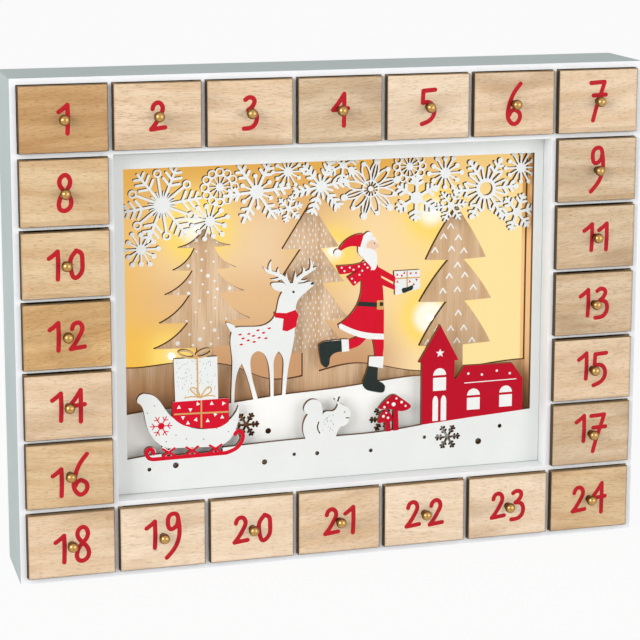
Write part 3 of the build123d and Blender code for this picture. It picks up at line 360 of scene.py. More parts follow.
# Each figure is drawn in units of the height of a plain one, from its left foot.
figure_strokes = {
    0: [
        [(0.24, 1.0), (0.06, 0.78), (0.02, 0.4), (0.18, 0.02)]
        + [(0.38, 0.18), (0.44, 0.6), (0.38, 0.92), (0.22, 1.0)],
    ],
    1: [[(0.0, 0.76), (0.17, 0.88), (0.31, 1.0)], [(0.31, 1.0), (0.32, 0.5), (0.3, 0.0)]],
    2: [
        [(0.06, 0.76), (0.13, 0.92), (0.3, 0.97), (0.42, 0.82), (0.34, 0.53), (0.14, 0.2), (0.0, 0.03)],
        [(0.0, 0.03), (0.24, 0.06), (0.5, 0.09)],
    ],
    3: [
        [(0.08, 0.94), (0.24, 1.02), (0.4, 0.94), (0.38, 0.76), (0.18, 0.56)],
        [(0.18, 0.56), (0.4, 0.52), (0.5, 0.26), (0.34, -0.04), (0.02, -0.1)],
    ],
    4: [
        [(0.42, 1.08), (0.24, 0.8), (0.0, 0.5)],
        [(0.0, 0.5), (0.56, 0.55)],
        [(0.42, 1.08), (0.42, 0.5), (0.41, -0.08)],
    ],
    5: [
        [(0.52, 0.97), (0.07, 0.94)],
        [(0.07, 0.94), (0.05, 0.5)],
        [(0.05, 0.5), (0.32, 0.5), (0.49, 0.26), (0.38, -0.1), (0.02, -0.28)],
    ],
    6: [
        [(0.5, 1.5), (0.22, 1.12), (0.04, 0.6), (0.05, 0.18)]
        + [(0.26, 0.0), (0.47, 0.16), (0.46, 0.42), (0.28, 0.54)],
        [(0.28, 0.54), (0.16, 0.49), (0.07, 0.34)],
    ],
    7: [
        [(0.0, 0.97), (0.54, 1.0)],
        [(0.54, 1.0), (0.38, 0.5), (0.22, 0.02), (0.1, -0.44)],
        [(0.1, 0.5), (0.6, 0.52)],
    ],
    8: [
        [(0.26, 0.68), (0.08, 0.9), (0.1, 1.17), (0.28, 1.27)]
        + [(0.43, 1.08), (0.34, 0.78), (0.1, 0.5), (0.02, 0.22)],
        [(0.02, 0.22), (0.08, 0.05), (0.2, 0.0), (0.42, 0.13), (0.43, 0.45), (0.26, 0.68)],
    ],
    9: [
        [(0.44, 1.02), (0.36, 1.22), (0.18, 1.22), (0.05, 0.94), (0.16, 0.66), (0.34, 0.74), (0.44, 1.02)],
        [(0.44, 1.02), (0.48, 0.5), (0.34, 0.0), (0.0, -0.42)],
    ],
}
figure_height = 16.4
narrow_gap = 0.28
wide_gap = 0.42
wide_numbers = (10, 12, 16, 18, 19, 20, 22)
stroke_half = 1.36
paint_height = 0.12
stroke_step = 0.01

number_paint = Finish("red number paint", specular_ior_level=0.12)
brush = number_paint.grain((0.6, 1.0, 0.25), 1.2, 3.0)
number_paint.set(base_color=number_paint.mix(brush, colour("b01a25"), colour("c6242f")))
number_paint.set(roughness=brush * 0.2 + 0.45)
number_paint.bump(brush, 0.0001)
for number in range(1, drawer_count + 1):
    low, high = corners_of(f"drawer_{number:02d}")
    strokes, start = [], 0.0
    for figure in str(number):
        drawn = [np.array(line) for line in figure_strokes[int(figure)]]
        strokes += [line + (start, 0) for line in drawn]
        start = np.vstack(strokes)[:, 0].max() + (wide_gap if number in wide_numbers else narrow_gap)
    every = np.vstack(strokes)
    middle = (every.min(0) + every.max(0)) / 2
    place = np.array([(low[0] + high[0]) / 2, (low[2] + high[2]) / 2])
    shapes = []
    for level, line in enumerate(strokes):
        path = smooth_path((line - middle) * figure_height + place)
        corners, faces = stroke_surface(path, stroke_half, paint_height + stroke_step * level)
        shapes.append((corners + (0, low[1], 0), faces))
    make_piece(f"numeral_{number:02d}", shapes, number_paint, f"drawer_body_{number:02d}")

# Knobs: turned brass balls on a neck and collar, pinned into the drawer fronts.
# Antique finish: dark in the neck, rubbed bright on the front of the ball, and darker round its sides with
# a painted dark reflection that is partly tarnish.
brass = Finish("antique brass", metallic=1.0)
ball_start, collar_start = 3.4, 1.4
tarnish = brass.grain((1.0, 1.0, 1.0), 0.7, 3.0)
neck = brass.soft_step(brass.y, drawer_face - ball_start, drawer_face - collar_start)
# Painted dark reflection, partly tarnish: the brass darkens where its faces turn sideways.
flank_painted_reflection = brass.soft_step(brass.ny, -0.86, -0.3)
rubbed = brass.mix(tarnish, colour("a98249"), colour("cda568"))
tarnish_and_painted_reflection = brass.mix(flank_painted_reflection * 0.85, rubbed, colour("684720"))
brass.set(base_color=brass.mix(neck * 0.75, tarnish_and_painted_reflection, colour("4a3218")))
brass.set(roughness=tarnish * 0.12 + neck * 0.2 + 0.18)
brass.bump(tarnish, 0.00006)
dress(brass, *(f"knob_{number:02d}" for number in range(1, drawer_count + 1)))

# Front scene board: white border and snow hill with its motifs, cut from one board by laser.
# White paint on both faces, with painted light making the middle board's hill brighter; the cut edges are
# left burnt brown.
border_side = 6.0
border_half = board_high[0] - border_side
foot = board_low[2]
front_back = board_high[1]
next_board = 4.0
hill_low, hill_high = 48.0, 66.0
snow = Finish("white board with burnt edges", specular_ior_level=0.3)
snow_cloud = snow.grain((1.0, 1.0, 1.0), 0.03, 2.0)
burn = snow.grain((1.0, 0.25, 1.0), 0.35, 3.0)
# Painted light: the hill of the middle board, in shade behind the front board, gets a brighter white than
# the front board.
hill_painted_light = snow.soft_step(snow.y, front_back, front_back + next_board)
hill_painted_light = hill_painted_light * snow.soft_step(snow.z, foot + hill_high, foot + hill_low)
near_tone = snow.mix(snow_cloud, colour("e2e5e3"), colour("edefed"))
white_paint_and_light = snow.mix(hill_painted_light, near_tone, colour("fbfbf8"))
burnt = snow.mix(burn, colour("3a2616"), colour("83592f"))
snow.set(base_color=snow.mix(abs(snow.ny) < 0.6, white_paint_and_light, burnt))
snow.set(roughness=snow_cloud * 0.2 + 0.5)
snow.bump(snow.grain((1.0, 1.0, 1.0), 1.4, 3.0), 0.00008)
dress(snow, "front_frame", "snow_band", "middle_layer")


# Print on the scene boards: flat colours and small marks on the motifs.
# Each colour is a film a few hundredths of a millimetre thick, later colours over earlier ones.
ink_step = 0.03
ink_root = 0.02


def smooth_loop(points, per_span=8):
    """Closed cubic spline through the points, spaced by chord length."""
    points = np.asarray(points, float)
    after = np.roll(points, -1, axis=0)
    gaps = np.linalg.norm(after - points, axis=1)
    slopes = (after - points) / gaps[:, None]
    count = np.arange(len(points))
    system = np.zeros((len(points), len(points)))
    system[count, count] = 2 * (gaps + np.roll(gaps, 1))
    system[count, (count + 1) % len(points)] += gaps
    system[count, count - 1] += np.roll(gaps, 1)
    bends = np.linalg.solve(system, 6 * (slopes - np.roll(slopes, 1, axis=0)))
    return spline_points(points, after, gaps, np.vstack([bends, bends[:1]]), per_span, True)


def film(outline, face_y, level):
    """Closed thin plate with the outline of (x, z) points: front, back and a band of sides."""
    outline = np.asarray(outline, float)
    beside = np.roll(outline, -1, axis=0)
    if np.sum(outline[:, 0] * beside[:, 1] - beside[:, 0] * outline[:, 1]) < 0:
        outline = outline[::-1]
    count = len(outline)
    depth = np.full(count, face_y - ink_step * level)
    front = np.column_stack([outline[:, 0], depth, outline[:, 1] + foot])
    corners = np.vstack([front, front * (1, 0, 1) + (0, face_y + ink_root, 0)])
    ring = np.arange(count)
    after = (ring + 1) % count
    sides = np.column_stack([ring, ring + count, after + count, after])
    return corners, [sides, np.stack([ring, ring[::-1] + count])]


def band(path, half_width, face_y, level):
    """Thin printed line along a path: a very flat round-ended stroke."""
    corners, faces = stroke_surface(np.asarray(path, float), half_width, ink_step * (level + 0.5))
    return corners + (0, face_y, foot), faces


def disc(x, z, radius, count=14):
    """Round outline."""
    angle = np.arange(count) * 2 * np.pi / count
    return np.column_stack([x + radius * np.cos(angle), z + radius * np.sin(angle)])


def leaf(x, z, length, width, tilt):
    """Pointed oval outline, turned by tilt degrees."""
    angle = np.arange(12) * np.pi / 6
    along = length / 2 * np.cos(angle)
    across = width / 2 * np.sin(angle) * np.abs(np.sin(angle)) ** 0.3
    cosine, sine = np.cos(np.radians(tilt)), np.sin(np.radians(tilt))
    return np.column_stack([x + along * cosine - across * sine, z + along * sine + across * cosine])


def wedge(x, z, size, tilt):
    """Small triangle, turned by tilt degrees."""
    angle = np.radians(tilt + np.array([90, 215, 325]))
    return np.column_stack([x + size * np.cos(angle), z + size * np.sin(angle)])


def printed(name, code, second):
    """Matt ink of one colour with a little unevenness."""
    ink = Finish(name, specular_ior_level=0.1)
    uneven = ink.grain((1.0, 1.0, 0.6), 0.5, 3.0)
    ink.set(base_color=ink.mix(uneven, colour(code), colour(second)))
    ink.set(roughness=uneven * 0.2 + 0.5)
    ink.bump(uneven, 0.00005)
    return ink


red_ink = printed("red ink", "cb0c27", "d9142f")
deep_ink = printed("deep red ink", "b40822", "c00d29")
white_ink = printed("white ink", "e9eae8", "f3f4f2")
gold_ink = printed("tan ink", "c99a58", "dcb274")
dark_ink = printed("green-black ink", "1f2826", "2d3733")
grey_ink = printed("grey ink", "6f7472", "9a9d9a")
face_ink = printed("pale skin ink", "e6bfa4", "efd0b8")

front_y = board_low[1]
sleigh_x = -0.688 * border_half
toadstool_x = 0.300 * border_half
church_x = 0.444 * border_half
squirrel_x = -0.030 * border_half


def at(x, points):
    """Points moved sideways, from a motif's own place to its place on the board."""
    return np.asarray(points, float) + (x, 0)


runner_lines = [
    [(-22.8, 24.0), (-24.2, 26.7), (-26.4, 26.2), (-27.0, 23.4), (-25.4, 21.1), (-21.0, 20.4)],
    [(-21.0, 20.4), (22.0, 20.9)],
    [(22.0, 20.9), (28.6, 23.6), (32.2, 28.8), (32.0, 32.6), (29.4, 34.0), (27.6, 32.2)],
]
runner_struts = (-13.6, 0.9, 15.4)
seat_line = smooth_path([(23.8, 40.6), (19.6, 38.0), (4.0, 38.0), (-5.4, 40.8), (-11.0, 45.6)])
gift_red = np.vstack([seat_line, [(-11.0, 55.1), (23.8, 55.1)]])
tower = [(0.0, 29.0), (0.0, 69.0), (-2.0, 69.0), (11.8, 92.3), (24.0, 69.0), (21.4, 69.0), (21.4, 57.0)]
nave = [(22.8, 57.0), (28.0, 65.0), (59.8, 64.7), (66.9, 54.4), (66.9, 33.8), (33.0, 31.6)]
cap_tall = smooth_loop(
    [(-9.2, 41.6), (-5.2, 46.2), (0.8, 49.6), (6.8, 46.0), (11.6, 41.0), (7.6, 39.0), (-3.0, 40.8)]
)
cap_short = smooth_loop(
    [(-9.4, 32.2), (-8.2, 37.2), (-5.0, 40.4), (-1.2, 37.4), (-0.2, 33.4), (-5.0, 32.8)]
)
front_red = [band(at(sleigh_x, smooth_path(line, 6)), 1.22, front_y, 1) for line in runner_lines]
for strut in runner_struts:
    for side in (-1, 1):
        cross_bar = [(strut - 3.6, 24.0 - side * 2.3), (strut + 3.6, 24.0 + side * 2.3)]
        front_red.append(band(at(sleigh_x, cross_bar), 0.7, front_y, 2 + side))
front_red.append(film(at(sleigh_x, gift_red), front_y, 1))
front_deep = [film(at(church_x, tower + nave), front_y, 1)]
front_deep += [film(at(toadstool_x, cap), front_y, 2) for cap in (cap_tall, cap_short)]
stem_tall = [(0.2, 26.6), (3.8, 26.8), (3.2, 41.0), (0.4, 41.0)]
stem_short = [(-4.8, 26.4), (-1.4, 26.5), (-2.0, 34.0), (-5.0, 34.0)]
front_deep += [film(at(toadstool_x, stem), front_y, 1) for stem in (stem_tall, stem_short)]
make_piece("front_deep_print", front_deep, deep_ink, "case")
flake_x, flake_z = sleigh_x - 18.0, 40.7
for turn in np.radians(np.arange(6) * 60):
    aim = np.array([np.cos(turn), np.sin(turn)])
    cross = np.array([-aim[1], aim[0]])
    centre = np.array([flake_x, flake_z])
    front_red.append(band([centre + aim * 2.4, centre + aim * 6.6], 0.32, front_y, 1))
    for side in (-1, 1):
        barb = [centre + aim * 4.0, centre + aim * 5.4 + cross * side * 1.8]
        front_red.append(band(barb, 0.3, front_y, 1))
front_red += [film(disc(flake_x, flake_z, 2.1), front_y, 1)]
make_piece("front_red_print", front_red, red_ink, "case")


def arched(left, right, low, high, top):
    """Outline of a window or door with a round head."""
    angle = np.linspace(0, np.pi, 9)
    middle, half = (left + right) / 2, (right - left) / 2
    head = np.column_stack([middle + half * np.cos(angle), high + (top - high) * np.sin(angle)])
    return np.vstack([[(left, low), (right, low)], head])


def half_round(left, right, low, top):
    """Outline of a fan light: half an oval on a level sill."""
    angle = np.linspace(0, np.pi, 11)
    x = (left + right) / 2 + (right - left) / 2 * np.cos(angle)
    return np.column_stack([x, low + (top - low) * np.sin(angle)])


window_width = 8.5
front_white = []
for left, low, high, top in ((7.4, 50.2, 58.6, 64.2), (29.9, 36.4, 44.2, 49.6), (51.4, 36.8, 44.6, 50.0)):
    right = left + window_width
    pane = [(left, low), (right, low), (right, high), (left, high)]
    front_white.append(film(at(church_x, pane), front_y, 2))
    front_white.append(film(at(church_x, half_round(left, right, high + 1.5, top + 0.4)), front_y, 2))
for left in (7.2, 12.6):
    front_white.append(film(at(church_x, arched(left, left + 3.6, 30.8, 43.2, 47.0)), front_y, 2))
spike = np.radians(90 + np.arange(10) * 36)
reach = np.where(np.arange(10) % 2, 1.25, 2.9)
star = np.column_stack([11.8 + reach * np.cos(spike), 74.2 + reach * np.sin(spike)])
front_white.append(film(at(church_x, star), front_y, 2))
front_white.append(band(at(church_x, [(28.2, 53.9), (62.4, 54.3)]), 0.35, front_y, 2))
for x, z in ((30.6, 59.8), (39.6, 58.6), (49.5, 60.4), (58.2, 58.2)):
    front_white.append(film(disc(church_x + x, z, 0.8, 10), front_y, 2))
cap_dots = [(0.4, 43.6, 1.3), (2.2, 47.2, 0.7), (5.6, 44.6, 0.9), (-3.4, 45.0, 0.7), (8.2, 42.0, 0.7)]
cap_dots += [(-5.6, 42.2, 0.8), (-6.2, 36.4, 0.9), (-3.2, 35.2, 0.8), (-4.4, 38.4, 0.6)]
for x, z, size in cap_dots:
    front_white.append(film(disc(toadstool_x + x, z, size, 12), front_y, 3))
triangles = [(-7.0, 51.6, 0), (0.0, 49.6, 180), (4.6, 53.0, 20), (13.2, 52.6, 0), (20.4, 52.0, 150)]
triangles += [(-4.6, 45.0, 180), (-1.6, 41.4, 0), (3.4, 43.2, -20), (10.6, 42.0, 0), (15.2, 45.6, 40)]
triangles += [(19.6, 43.6, 0)]
for x, z, tilt in triangles:
    front_white.append(film(wedge(sleigh_x + x, z, 1.5, tilt), front_y, 2))
make_piece("front_white_print", front_white, white_ink, "case")

front_gold = [
    band(at(sleigh_x, [(6.7, 38.2), (6.8, 54.6)]), 0.55, front_y, 3),
    band(at(sleigh_x, [(-9.6, 47.4), (23.2, 46.6)]), 0.55, front_y, 4),
    band(at(sleigh_x, [(4.5, 80.8), (4.6, 57.0)]), 0.5, front_y, 2),
]
bow_lines = [
    ([(6.2, 56.6), (1.6, 60.4), (0.2, 62.8), (2.6, 63.0), (5.4, 59.4), (6.2, 56.6)], 0.4, 2.6),
    ([(6.4, 56.6), (9.2, 61.2), (12.0, 63.0), (13.0, 60.6), (10.0, 58.2), (6.4, 56.6)], 0.4, 2.7),
    ([(6.3, 56.8), (1.4, 57.6), (-3.4, 57.2)], 0.35, 2.4),
    ([(6.3, 56.8), (11.4, 57.6), (15.2, 57.0)], 0.35, 2.4),
]
for line, half_width, level in bow_lines:
    front_gold.append(band(at(sleigh_x, smooth_path(line)), half_width, front_y, level))
oval = np.arange(25) * 2 * np.pi / 24
for side in (-1, 1):
    tilt = np.radians(side * 18)
    along, across = 4.8 * np.cos(oval), 1.9 * np.sin(oval)
    loop_x = 3.4 + side * 5.2 + along * np.cos(tilt) - across * np.sin(tilt)
    loop_z = 84.0 + along * np.sin(tilt) + across * np.cos(tilt)
    front_gold.append(band(at(sleigh_x, np.column_stack([loop_x, loop_z])), 0.5, front_y, 2))
front_gold.append(film(disc(sleigh_x + 3.4, 82.0, 1.35), front_y, 2.2))
make_piece("front_gold_print", front_gold, gold_ink, "case")

specks = np.random.default_rng(7)
front_grey = []
for x, z in np.column_stack([specks.uniform(-8.2, 15.6, 70), specks.uniform(57.6, 80.4, 70)]):
    front_grey.append(film(leaf(sleigh_x + x, z, 0.9, 0.32, 80 + 20 * np.sin(x)), front_y, 1))
sleigh_dots = [(-22.0, 53.6), (-26.4, 49.4), (-9.0, 34.4), (-2.6, 31.6), (8.0, 30.6), (16.2, 36.8)]
sleigh_dots += [(23.4, 34.2), (26.0, 44.6), (-15.0, 30.8)]
for x, z in sleigh_dots:
    front_grey.append(film(disc(sleigh_x + x, z, 0.42, 8), front_y, 1))
for x, z in np.column_stack([specks.uniform(-2.6, 4.6, 20), specks.uniform(29.0, 40.0, 20)]):
    front_grey.append(film(leaf(squirrel_x + x, z, 0.9, 0.35, 85), front_y, 1))
front_grey.append(film(disc(squirrel_x + 11.6, 41.0, 0.5, 10), front_y, 1))
make_piece("front_grey_print", front_grey, grey_ink, "case")

# Middle scene board: second snow hill with the reindeer and the striding gift-bringer.
# Same board and print as the front one, held behind it on spacer strips.
middle_y = corners_of("middle_layer")[0][1]
deer_x = -0.275 * border_half
bringer_x = 0.190 * border_half


def joined(*runs):
    """One outline from smooth runs, laid end to end."""
    return np.vstack([smooth_path(run, 6) for run in runs])


cap_red = joined(
    [(-5.0, 142.6), (-11.8, 143.4), (-16.6, 141.6), (-18.8, 140.2)],
    [(-18.6, 142.4), (-15.0, 146.8), (-9.5, 150.0), (-3.2, 151.0)],
)
coat_left = [(-3.4, 131.0), (-4.2, 122.0), (-4.6, 114.0), (-6.4, 107.8), (-10.8, 101.0), (-19.2, 94.6)]
coat_right = [(10.2, 104.0), (9.6, 114.0), (8.0, 124.2), (5.2, 130.6)]
hem_low = [(-18.4, 92.2), (-11.6, 88.5), (-1.2, 84.9), (10.2, 83.6)]
coat = joined(coat_left, hem_low, coat_right)
neck_wrap = smooth_loop(
    [(-2.8, 133.6), (1.6, 134.0), (6.0, 130.4), (5.4, 126.6), (0.2, 127.0), (-4.0, 128.9)]
)
tail_long = joined(
    [(-0.6, 134.0), (-5.6, 132.4), (-10.6, 131.8), (-20.3, 131.7)],
    [(-18.2, 126.3), (-9.8, 127.2), (-5.0, 129.2), (-0.6, 132.0)],
)
tail_short = [(-2.0, 130.6), (-8.6, 126.9), (-13.6, 124.0), (-9.4, 118.5), (-2.0, 123.6)]
arm_upper = [(4.6, 130.2), (7.5, 128.9), (17.3, 123.0), (17.3, 119.0), (6.4, 125.0)]
arm_lower = [(6.4, 123.8), (17.3, 117.3), (17.3, 114.3), (7.6, 118.6)]
rear_thigh = joined(
    [(-0.6, 89.0), (-6.6, 86.4), (-12.8, 84.6)],
    [(-12.4, 78.6), (-5.2, 81.0), (-0.6, 85.2)],
)
front_thigh = [(2.8, 86.0), (4.1, 78.8), (5.0, 72.0), (9.4, 72.0), (10.2, 78.4), (10.2, 86.0)]
dressed = (rear_thigh, front_thigh, coat, arm_lower, arm_upper, tail_short, tail_long, neck_wrap, cap_red)
middle_red = [film(at(bringer_x, shape), middle_y, level) for level, shape in enumerate(dressed, start=1)]
wrap = [(0.6, 104.8), (8.0, 104.0), (14.0, 105.7), (15.8, 102.4), (14.9, 98.6), (1.0, 101.8)]
hanging = [(6.4, 100.6), (14.9, 98.8), (14.4, 95.2), (11.5, 93.8), (8.7, 92.6), (5.6, 93.4)]
middle_red += [film(at(deer_x, shape), middle_y, level) for level, shape in ((1, hanging), (2, wrap))]
coat_dashes = [(-20.9, 92.4), (-15.4, 92.5), (-9.7, 94.4), (-2.6, 95.2), (-6.2, 92.6), (-12.5, 91.1)]
coat_dashes += [(-19.0, 89.9), (-15.8, 88.5), (-9.0, 89.7), (-4.7, 89.1), (-12.1, 87.3), (-20.2, 86.2)]
for x, z in coat_dashes:
    middle_red.append(film(leaf(deer_x + x, z, 2.3, 1.15, 8), middle_y, 1))
parcel_marks = [(18.6, 124.0, 0), (21.6, 123.2, 180), (23.2, 125.0, 0), (27.4, 124.4, 180)]
parcel_marks += [(30.8, 124.6, 0), (18.8, 119.6, 0), (26.8, 119.4, 0), (31.2, 120.2, 180), (29.4, 117.4, 0)]
for x, z, tilt in parcel_marks:
    middle_red.append(film(wedge(bringer_x + x, z, 1.0, tilt), middle_y, 1))
make_piece("middle_red_print", middle_red, red_ink, "case")

beard = smooth_loop(
    [(-4.4, 140.4), (4.2, 139.8), (5.6, 134.4), (5.2, 130.2), (3.6, 127.8), (0.9, 130.6), (-2.9, 135.0)]
)
hem_high = [(-17.6, 95.4), (-7.6, 90.6), (0.4, 88.4), (10.2, 87.2)]
hem = np.vstack([joined(hem_high, hem_low[::-1]), [(-19.1, 94.4)]])
cuff_rear = [(-17.2, 85.3), (-12.6, 85.0), (-12.2, 77.7), (-16.8, 77.4)]
cuff_front = [(0.8, 73.2), (10.2, 72.8), (9.6, 65.3), (0.5, 67.4)]
middle_white = [film(at(bringer_x, shape), middle_y, 10) for shape in (hem, cuff_rear, cuff_front, beard)]
middle_white.append(film(disc(bringer_x - 19.7, 139.6, 2.35), middle_y, 10))
brim = smooth_path([(0.4, 149.4), (-3.2, 145.4), (-4.0, 139.8)])
middle_white.append(band(at(bringer_x, brim), 2.5, middle_y, 11))
scarf_dots = [(-17.2, 130.4), (-15.4, 128.2), (-12.0, 130.2), (-9.6, 128.8), (-6.2, 130.6), (-2.4, 131.8)]
scarf_dots += [(-0.6, 129.6), (-10.6, 123.2), (-5.8, 125.4), (-8.6, 120.8), (-4.0, 127.8), (2.0, 128.4)]
for x, z in scarf_dots:
    middle_white.append(film(disc(bringer_x + x, z, 0.62, 10), middle_y, 9.5))
make_piece("middle_white_print", middle_white, white_ink, "case")

boot_rear = joined(
    [(-17.0, 84.9), (-24.0, 84.7), (-29.2, 84.1), (-31.6, 82.6)],
    [(-31.4, 80.8), (-31.2, 78.4), (-30.2, 72.4), (-29.2, 69.6), (-26.8, 68.2), (-24.9, 70.2)],
    [(-24.7, 72.0), (-24.5, 73.8), (-22.8, 76.2), (-16.8, 77.7)],
)
boot_front = joined(
    [(6.4, 66.0), (6.2, 61.0), (6.8, 57.4), (9.2, 56.0), (11.2, 53.6)],
    [(10.9, 51.4), (10.4, 50.3), (6.8, 50.0), (2.0, 51.2), (-1.4, 52.6), (-3.4, 55.2)],
    [(-3.1, 56.8), (-2.6, 58.6), (-1.0, 63.0), (0.6, 68.0)],
)
belt = [(-5.9, 108.6), (5.8, 107.2), (5.8, 104.4), (-7.2, 105.9)]
buckle_pin = [(7.3, 107.4), (9.6, 107.3), (9.6, 104.9), (7.4, 105.0)]
mitten = smooth_loop(
    [(21.8, 114.8), (25.4, 115.8), (28.8, 116.6), (28.6, 114.5), (26.0, 113.3), (22.2, 112.6)]
)
middle_dark = [film(at(bringer_x, shape), middle_y, 8) for shape in (boot_rear, boot_front, belt, mitten)]
middle_dark.append(film(at(bringer_x, buckle_pin), middle_y, 11))
middle_dark.append(film(disc(bringer_x + 3.8, 144.6, 0.42, 10), middle_y, 7))
middle_dark.append(film(disc(deer_x + 12.7, 117.0, 0.8, 10), middle_y, 1))
middle_dark.append(film(leaf(deer_x + 24.6, 121.6, 2.4, 1.5, 20), middle_y, 1))
make_piece("middle_dark_print", middle_dark, dark_ink, "case")

middle_gold = [
    film(at(bringer_x, [(5.6, 108.6), (9.9, 108.4), (10.1, 102.6), (5.6, 102.8)]), middle_y, 10),
    band(at(bringer_x, [(25.0, 125.8), (25.2, 114.0)]), 0.45, middle_y, 2),
    band(at(bringer_x, [(17.6, 121.6), (33.0, 121.6)]), 0.45, middle_y, 3),
]
make_piece("middle_gold_print", middle_gold, gold_ink, "case")
face_rounds = ((2.2, 143.2, 3.4, 5), (5.8, 142.8, 1.1, 6))
middle_face = []
for x, z, size, level in face_rounds:
    middle_face.append(film(disc(bringer_x + x, z, size, 20), middle_y, level))
make_piece("middle_face_print", middle_face, face_ink, "case")

# Rear scene board: a frame with a hill and firs, in bare veneer with upright grain.
# The cut edges are burnt dark; white dots, dashes and chevrons are printed on the firs.
bark = Finish("fir veneer", specular_ior_level=0.25)
bark_bands = bark.grain((1.0, 0.3, 0.06), 0.16, 3.0)
bark_fibres = bark.grain((1.0, 1.0, 0.04), 1.3, 4.0)
bark_tone = bark.mix(bark.soft_step(bark_bands, 0.3, 0.7), colour("e6c9a8"), colour("d0ab84"))
bark_tone = bark.mix(bark.soft_step(bark_fibres, 0.42, 0.75) * 0.4, bark_tone, colour("a27c55"))
low_hill = bark.soft_step(bark.z, foot + 76.0, foot + 58.0)
hill_side = bark.soft_step(bark.x, 20.0, -90.0)
bark_tone = bark.mix(low_hill * (hill_side * 0.36 + 0.08), bark_tone, colour("cc8740"))
right_fir = bark.soft_step(bark.x, 44.0, 58.0) * bark.soft_step(bark.z, foot + 66.0, foot + 80.0)
bark_tone = bark.mix(right_fir * 0.26, bark_tone, colour("b18b5e"))
charred = bark.mix(bark_fibres, colour("26180e"), colour("5a3a1f"))
bark.set(base_color=bark.mix(abs(bark.ny) < 0.6, bark_tone, charred))
bark.set(roughness=bark_fibres * 0.2 + 0.55)
bark.bump(bark_fibres, 0.00015)
dress(bark, "tree_layer")

tree_y = corners_of("tree_layer")[0][1]
curved_x, plain_x, chevron_x = -0.590 * border_half, -0.078 * border_half, 0.648 * border_half
marks = np.random.default_rng(24)
tree_white = []


def fir_half(z, top, notch, tiers):
    """Half width of a fir at height z: each tier widens from a waist to its tips."""
    waist, waist_z = 0.4, top
    for half, tip_z in tiers:
        if tip_z <= z <= waist_z:
            return waist + (half - waist) * (waist_z - z) / (waist_z - tip_z)
        waist, waist_z = half * notch, tip_z
    return 0.0


curved_fir = (157.2, 0.36, [(16.2, 146.6), (19.6, 132.8), (24.6, 118.0), (28.2, 100.6), (31.8, 85.0)])
plain_fir = (169.8, 0.33, [(17.9, 142.4), (21.2, 120.4), (23.6, 97.4), (24.4, 77.4)])
chevron_fir = (163.4, 0.22, [(19.8, 130.8), (23.8, 104.2), (23.6, 76.0)])
placed = []
for z in np.arange(86.0, 152.0, 1.7):
    half = 0.8 * fir_half(z, *curved_fir) - 1.6
    for x in marks.uniform(-1, 1, 3) * max(half, 0.2):
        if all(np.hypot(x - x2, z - z2) > 5.2 for x2, z2 in placed) and half > 0:
            placed.append((x, z))
            size = 0.65 + 1.4 * marks.random() ** 3
            tree_white.append(film(disc(curved_x + x, z, size, 12), tree_y, 1))
for step, z in enumerate(np.arange(80.0, 164.0, 3.5)):
    half = fir_half(z, *plain_fir) - 1.6
    for x in np.arange(-24.0, 24.1, 3.4) + (step % 2) * 1.7:
        if abs(x) < half:
            spot = np.array([plain_x + x, z]) + marks.uniform((-0.5, -0.9), (0.5, 0.9))
            tree_white.append(film(leaf(*spot, 2.2, 0.66, 84 + 10 * marks.random()), tree_y, 1))
for step, z in enumerate(np.arange(79.0, 154.0, 8.2)):
    half = fir_half(z, *chevron_fir) - 3.2
    for x in np.arange(-27.0, 27.1, 9.4) + (step % 2) * 4.7:
        if abs(x) < half:
            tip = np.array([chevron_x + x, z + 1.2]) + marks.uniform(-1.2, 1.2, 2)
            for side in (-1, 1):
                tree_white.append(band([tip, tip + (side * 1.9, -2.9)], 0.48, tree_y, 1 + side))
make_piece("tree_white_print", tree_white, white_ink, "case")

# Lit panel and spacer strips: a thin bare board whose front shows painted light, a glow round its lamps,
# and strips between the boards.
# The glow is brightest at each lamp and falls to amber in the corners.
panel_board = 3.0
panel_face = corners_of("light_panel")[1][1] - panel_board

# Each lamp has a share of the border's half width, a height above the foot, a power and a reach.
lamps = [(-0.740, 78.0, 1.1, 13.0), (-0.300, 89.2, 0.1, 12.0), (-0.616, 157.2, 1.5, 18.0)]
lamps += [(0.046, 137.6, 1.2, 13.5), (0.545, 160.0, 1.6, 12.0), (0.652, 118.0, 0.4, 12.0)]
lamps += [(0.540, 92.0, 1.9, 12.0), (0.200, 92.0, 0.1, 12.0)]
lit = Finish("lit panel and spacer wood", specular_ior_level=0.2, emission_strength=1.0)
strip_fibres = lit.grain((1.0, 1.0, 0.04), 1.2, 4.0)
strip_tone = lit.mix(strip_fibres, colour("f9d8ae"), colour("ecba88"))
# Painted light: a glow round each lamp, given to the panel as emission.
glow = 0.0
for share, height, power, reach in lamps:
    across = (lit.x - share * border_half) / reach
    upward = (lit.z - (foot + height)) / reach
    glow = glow + power / (across * across + upward * upward + 1.0)

# Painted light and painted shade in the glow between the lamps: darker low down left of the middle,
# brighter and yellower to the right, amber towards the left and top edges.
low_wall = lit.soft_step(lit.z, foot + 112.0, foot + 66.0) * lit.soft_step(lit.x, 66.0, 24.0)
right_wall = lit.soft_step(lit.x, 44.0, 92.0)
left_edge = lit.soft_step(lit.x, -84.0, -126.0)
top_edge = lit.soft_step(lit.z, foot + 150.0, foot + 196.0)
middle_wall = lit.mix(lit.soft_step(lit.x, -10.0, 36.0), colour("e6bc8b"), colour("fadaa9"))
high_wall = lit.soft_step(lit.z, foot + 112.0, foot + 140.0) * lit.soft_step(lit.x, -8.0, -38.0)
middle_wall = lit.mix(high_wall * 0.6, middle_wall, colour("f6d9b4"))
ambient = lit.mix(low_wall, middle_wall, colour("cb9a70"))
ambient = lit.mix(right_wall, ambient, colour("fee3a0"))
ambient = lit.mix(left_edge * 0.8, ambient, colour("efbd62"))
ambient = lit.mix(top_edge * (1.0 - right_wall * 0.5), ambient, colour("e3ac52"))
